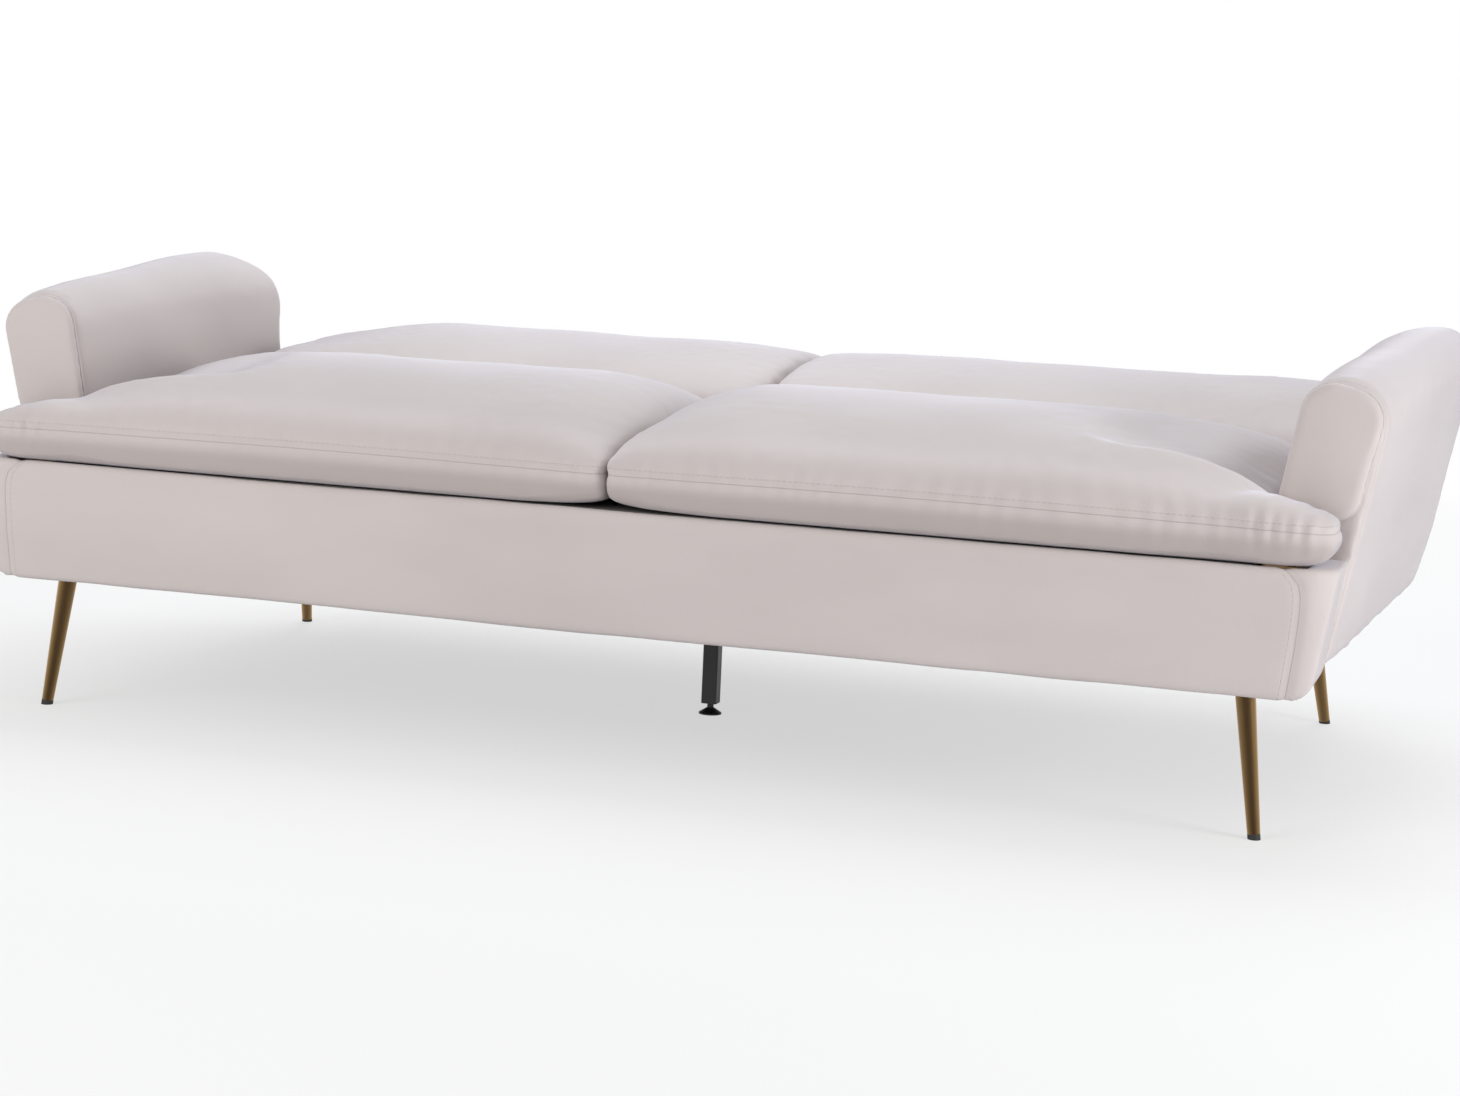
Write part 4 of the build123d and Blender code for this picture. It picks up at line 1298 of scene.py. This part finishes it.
@dataclass
class BaseCover:
    """The velvet round the front and corners of the base, with a sewn seam near each corner."""

    voxel_size: float = 0.0048
    seam_heights: tuple[float, ...] = (0.195, 0.201, 0.264, 0.309, 0.332, 0.348, 0.360, 0.367)
    seam_places: tuple[float, ...] = (0.9250, 0.926, 0.933, 0.936, 0.936, 0.932, 0.921, 0.912)
    overlap: float = 0.004

    def build(self, wardrobe: Wardrobe) -> Piece:
        """Build the wrap over the front board and both corners.

        Args:
            wardrobe: The finishes.

        Returns:
            The wrap.
        """
        nodes = ("base_front_cover", "corner_cover_left", "corner_cover_right")
        work = bmesh.new()
        for node in nodes:
            start = len(work.verts)
            work.from_mesh(frame["nodes"][node].data)
            work.verts.ensure_lookup_table()
            fresh = work.verts[start:]
            if node == "base_front_cover":
                for vert in fresh:
                    vert.co.x += math.copysign(self.overlap, vert.co.x)
            bmesh.ops.remove_doubles(work, verts=fresh, dist=2e-5)
        piece = mesh_of("base_wrap", work)
        voxel(piece, self.voxel_size)
        relax(piece, 3)
        points = points_of(piece)
        x, y, z = points.T
        seam = np.interp(z, self.seam_heights, self.seam_places) - np.abs(x)
        soft = wander(points, 2.4, 5.0)
        tug = wander(points * np.array([1.0, 1.0, 0.3]), 12.0, 9.0)
        edges = bump(z - z.max(), 0.045) + bump(z - z.min(), 0.045)
        swell = 0.0012 + 0.0016 * soft + 0.0009 * tug * edges - 0.0022 * bump(seam, 0.006)
        swell *= fade(-y, 0.42, 0.56)
        set_points(piece, points + normals_of(piece) * swell[:, None])
        write_seam(piece, seam, z)
        wardrobe.dress(piece, sewn=True)
        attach(piece, Body.BASE.value)
        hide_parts(*nodes)
        return piece


@dataclass
class RearCover:
    """The velvet behind the base, wrapped round the rear ends and lower strips of both side rails."""

    voxel_size: float = 0.003
    thickness: float = 0.006
    overlap: float = 0.001
    return_length: float = 0.24
    flap: float = 0.032
    arm_room: float = 0.0015
    swell: float = 0.0016

    def build(self, wardrobe: Wardrobe) -> Piece:
        """Build the cover.

        Args:
            wardrobe: The finishes.

        Returns:
            The cover.
        """
        low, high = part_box("base_rear_cover")
        outer = high[0] + self.thickness - self.overlap
        near = high[1] - self.return_length
        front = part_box("corner_cover_right")[1][1] + self.overlap
        under_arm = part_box("arm_cover_right")[0][2] - self.arm_room
        work = bmesh.new()
        add_block(work, (-outer, low[1], low[2]), (outer, high[1], high[2]))
        for side in Side:
            left, right = sorted((side.value * (high[0] - self.overlap), side.value * outer))
            add_block(work, (left, near, low[2]), (right, high[1], high[2]))
            add_block(work, (left, front, low[2]), (right, high[1], under_arm))
            left, right = sorted((side.value * (outer - self.flap), side.value * outer))
            add_block(work, (left, near, high[2] - self.overlap), (right, high[1], high[2] + self.thickness))
        piece = mesh_of("base_rear_velvet", work)
        voxel(piece, self.voxel_size)
        relax(piece, 2)
        points = points_of(piece)
        _, y, z = points.T
        inside = bump(z - (low[2] + high[2]) / 2, (high[2] - low[2]) / 2)
        rear = y > (low[1] + high[1]) / 2
        y += np.where(rear, self.swell * inside * (1 + 0.5 * wander(points, 3.0, 17.0)), 0)
        set_points(piece, points)
        wardrobe.dress(piece)
        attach(piece, Body.BASE.value)
        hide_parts("base_rear_cover")
        return piece


@dataclass
class BackCover:
    """The velvet shell under the folded back, which is the sofa's rear when the back stands."""

    wall: float = 0.0034
    edge: float = 0.010
    lip: float = 0.005
    end_room: float = 0.005
    wall_front: float = 0.345
    columns: int = 120
    rows: int = 36
    sag: float = 0.0015

    def build(self, wardrobe: Wardrobe) -> Piece:
        """Build the shell: a shallow tray with rounded edges, open above.

        Args:
            wardrobe: The finishes.

        Returns:
            The shell.
        """
        low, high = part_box("back_rear_cover")
        work = bmesh.new()
        add_block(work, low, high)
        bottom = low[2] + 0.01
        rounded = []
        for edge in work.edges:
            heights = [vert.co.z for vert in edge.verts]
            behind = all(vert.co.y > high[1] - 0.01 for vert in edge.verts)
            if max(heights) < bottom or (behind and min(heights) < bottom):
                rounded.append(edge)
        bmesh.ops.bevel(
            work, geom=rounded, offset=self.edge, offset_type="OFFSET", segments=5, profile=0.5,
            affect="EDGES", material=-1, clamp_overlap=True,
        )
        for normal, places in (
            (Vector((1, 0, 0)), np.linspace(low[0], high[0], self.columns)[1:-1]),
            (Vector((0, 1, 0)), np.linspace(low[1], high[1], self.rows)[1:-1]),
            (Vector((0, 0, 1)), (low[2] + 0.03, low[2] + 0.06)),
        ):
            for place in places:
                bmesh.ops.bisect_plane(
                    work, geom=[*work.verts, *work.edges, *work.faces], dist=1e-6,
                    plane_co=normal * float(place), plane_no=normal,
                )
        doomed = []
        for face in work.faces:
            middle = face.calc_center_median()
            above = middle.z > high[2] - 0.001
            near = middle.y < self.wall_front and middle.z > low[2] + self.edge + 0.003
            if above or near:
                doomed.append(face)
        bmesh.ops.delete(work, geom=doomed, context="FACES")
        piece = mesh_of("back_shell", work)
        points = points_of(piece)
        x, y, z = points.T
        sag = self.sag * wander(points, 3.0, 21.0) * (z < low[2] + 0.004)
        z += np.maximum(sag, -0.001) + self.lip * (z > high[2] - 0.002)
        limit = high[0] - self.end_room * (y < self.wall_front + 0.012)
        x[:] = np.clip(x, -limit, limit)
        set_points(piece, points)
        lining = piece.modifiers.new("lining", "SOLIDIFY")
        lining.thickness = self.wall
        lining.offset = -1.0
        settle(piece)
        wardrobe.dress(piece)
        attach(piece, Body.BACK.value)
        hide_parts("back_rear_cover")
        return piece


# Studio


@dataclass(frozen=True)
class Lamp:
    """A large soft square lamp, with its power in watts."""

    name: str
    place: tuple[float, float, float]
    aim: tuple[float, float, float]
    size: float
    power: float
    colour: Colour

    def hang(self) -> None:
        """Put the lamp into the scene."""
        data = bpy.data.lights.new(self.name, "AREA")
        data.size = self.size
        data.energy = self.power
        data.color = self.colour
        lamp = bpy.data.objects.new(self.name, data)
        turn = (Vector(self.aim) - Vector(self.place)).to_track_quat("-Z", "Y").to_matrix().to_4x4()
        lamp.matrix_world = Matrix.Translation(self.place) @ turn
        bpy.context.scene.collection.objects.link(lamp)


@dataclass
class Studio:
    """The plain floor, the pale surroundings, the lamps and the camera."""

    floor_size: float = 40.0
    lens: float = 74.187
    place: tuple[float, float, float] = (1.3665, -4.4127, 0.8936)
    yaw: float = 0.3015
    tilt: float = 0.13918
    roll: float = 0.04508
    world_light: float = 0.40
    floor_tone: float = 0.86
    floor_glow: float = 0.6
    clear_radius: float = 1.6
    clear_width: float = 2.4
    lamps: tuple[Lamp, ...] = (
        Lamp("top_lamp", (-0.1, 1.7, 3.3), (0, 0.2, 0.4), 3.2, 92.0, (0.90, 0.95, 1.0)),
        Lamp("front_lamp", (-2.3, -4.2, 2.0), (-0.1, -0.4, 0.4), 2.6, 82.0, (1.0, 0.985, 0.97)),
        Lamp("right_lamp", (2.9, -1.05, 0.9), (1.05, -0.2, 0.35), 0.9, 29.0, (0.98, 0.99, 1.0)),
    )

    def camera(self) -> None:
        """Set the camera where the photograph was taken from."""
        forward = Vector(
            (
                -math.sin(self.yaw) * math.cos(self.tilt),
                math.cos(self.yaw) * math.cos(self.tilt),
                -math.sin(self.tilt),
            )
        )
        level = Vector((math.cos(self.yaw), math.sin(self.yaw), 0))
        upright = level.cross(forward)
        right = level * math.cos(self.roll) + upright * math.sin(self.roll)
        up = -level * math.sin(self.roll) + upright * math.cos(self.roll)
        turn = Matrix((right, up, -forward)).transposed().to_4x4()
        data = bpy.data.cameras.new("camera")
        data.sensor_fit = "HORIZONTAL"
        data.sensor_width = 36.0
        data.lens = self.lens
        camera = bpy.data.objects.new("camera", data)
        camera.matrix_world = Matrix.Translation(self.place) @ turn
        bpy.context.scene.collection.objects.link(camera)
        bpy.context.scene.camera = camera

    def seen(self, tree: Tree) -> Socket:
        """Return a mask of the rays that see the background.

        Args:
            tree: The tree that gets the nodes.

        Returns:
            1 for rays from the camera, in gloss and through glass.
        """
        path = tree.nodes.new("ShaderNodeLightPath")
        direct = math_node(tree, "ADD", path.outputs["Is Camera Ray"], path.outputs["Is Glossy Ray"])
        return math_node(tree, "ADD", direct, path.outputs["Is Transmission Ray"], clamp=True)

    def world(self) -> None:
        """Set the white surroundings and the soft light that comes from them."""
        world = bpy.data.worlds.new("surroundings")
        world.use_nodes = True
        bpy.context.scene.world = world
        tree = world.node_tree
        back = next(node for node in tree.nodes if node.type == "BACKGROUND")
        extra = math_node(tree, "MULTIPLY", self.seen(tree), 1 - self.world_light)
        tree.links.new(math_node(tree, "ADD", extra, self.world_light), back.inputs["Strength"])
        back.inputs["Color"].default_value = (1, 1, 1, 1)

    def floor(self) -> None:
        """Build the pale floor, which fades to white away from the sofa."""
        work = bmesh.new()
        bmesh.ops.create_grid(work, x_segments=2, y_segments=2, size=self.floor_size)
        floor = mesh_of("floor", work)
        sheet = Sheet("floor_paint")
        sheet.value("Base Color", (self.floor_tone, self.floor_tone, self.floor_tone, 1))
        sheet.value("Roughness", 0.9)
        tree = sheet.tree
        place = tree.nodes.new("ShaderNodeTexCoord")
        length = tree.nodes.new("ShaderNodeVectorMath")
        length.operation = "LENGTH"
        tree.links.new(place.outputs["Object"], length.inputs[0])
        away = math_node(tree, "SUBTRACT", length.outputs["Value"], self.clear_radius)
        far = math_node(tree, "DIVIDE", away, self.clear_width, clamp=True)
        glow = tree.nodes.new("ShaderNodeEmission")
        glow.inputs["Strength"].default_value = 1.0
        mixer = tree.nodes.new("ShaderNodeMixShader")
        bright = math_node(tree, "MULTIPLY", far, 1 - self.floor_glow)
        share = math_node(tree, "MULTIPLY", self.seen(tree), math_node(tree, "ADD", bright, self.floor_glow))
        output = next(node for node in tree.nodes if node.type == "OUTPUT_MATERIAL")
        tree.links.new(share, mixer.inputs[0])
        tree.links.new(sheet.shader.outputs[0], mixer.inputs[1])
        tree.links.new(glow.outputs[0], mixer.inputs[2])
        tree.links.new(mixer.outputs[0], output.inputs["Surface"])
        floor.data.materials.append(sheet.material)

    def build(self) -> None:
        """Set the whole studio."""
        bpy.context.scene.view_settings.view_transform = "Standard"
        self.camera()
        self.world()
        self.floor()
        for lamp in self.lamps:
            lamp.hang()


# The whole scene


def main() -> None:
    """Build every piece in order and report each."""
    logging.basicConfig(level=logging.INFO, format="%(message)s")
    Studio().build()
    wardrobe = Wardrobe()
    wardrobe.dress_nodes()
    pieces: list[Piece] = []
    for side in Side:
        pieces.append(SeatCushion(side, seed=3.1 + side.value).build(wardrobe))
        drop = 0.0075 - 0.0135 * side.value
        pieces.append(BackCushion(side, seed=7.7 + side.value, end_drop=drop).build(wardrobe))
        pieces.extend(Arm(side).build(wardrobe))
    for cover in (BaseCover(), RearCover(), BackCover()):
        pieces.append(cover.build(wardrobe))
    for piece in pieces:
        LOG.info("%s: %d faces", piece.name, len(piece.data.polygons))


if __name__ == "__main__":
    main()
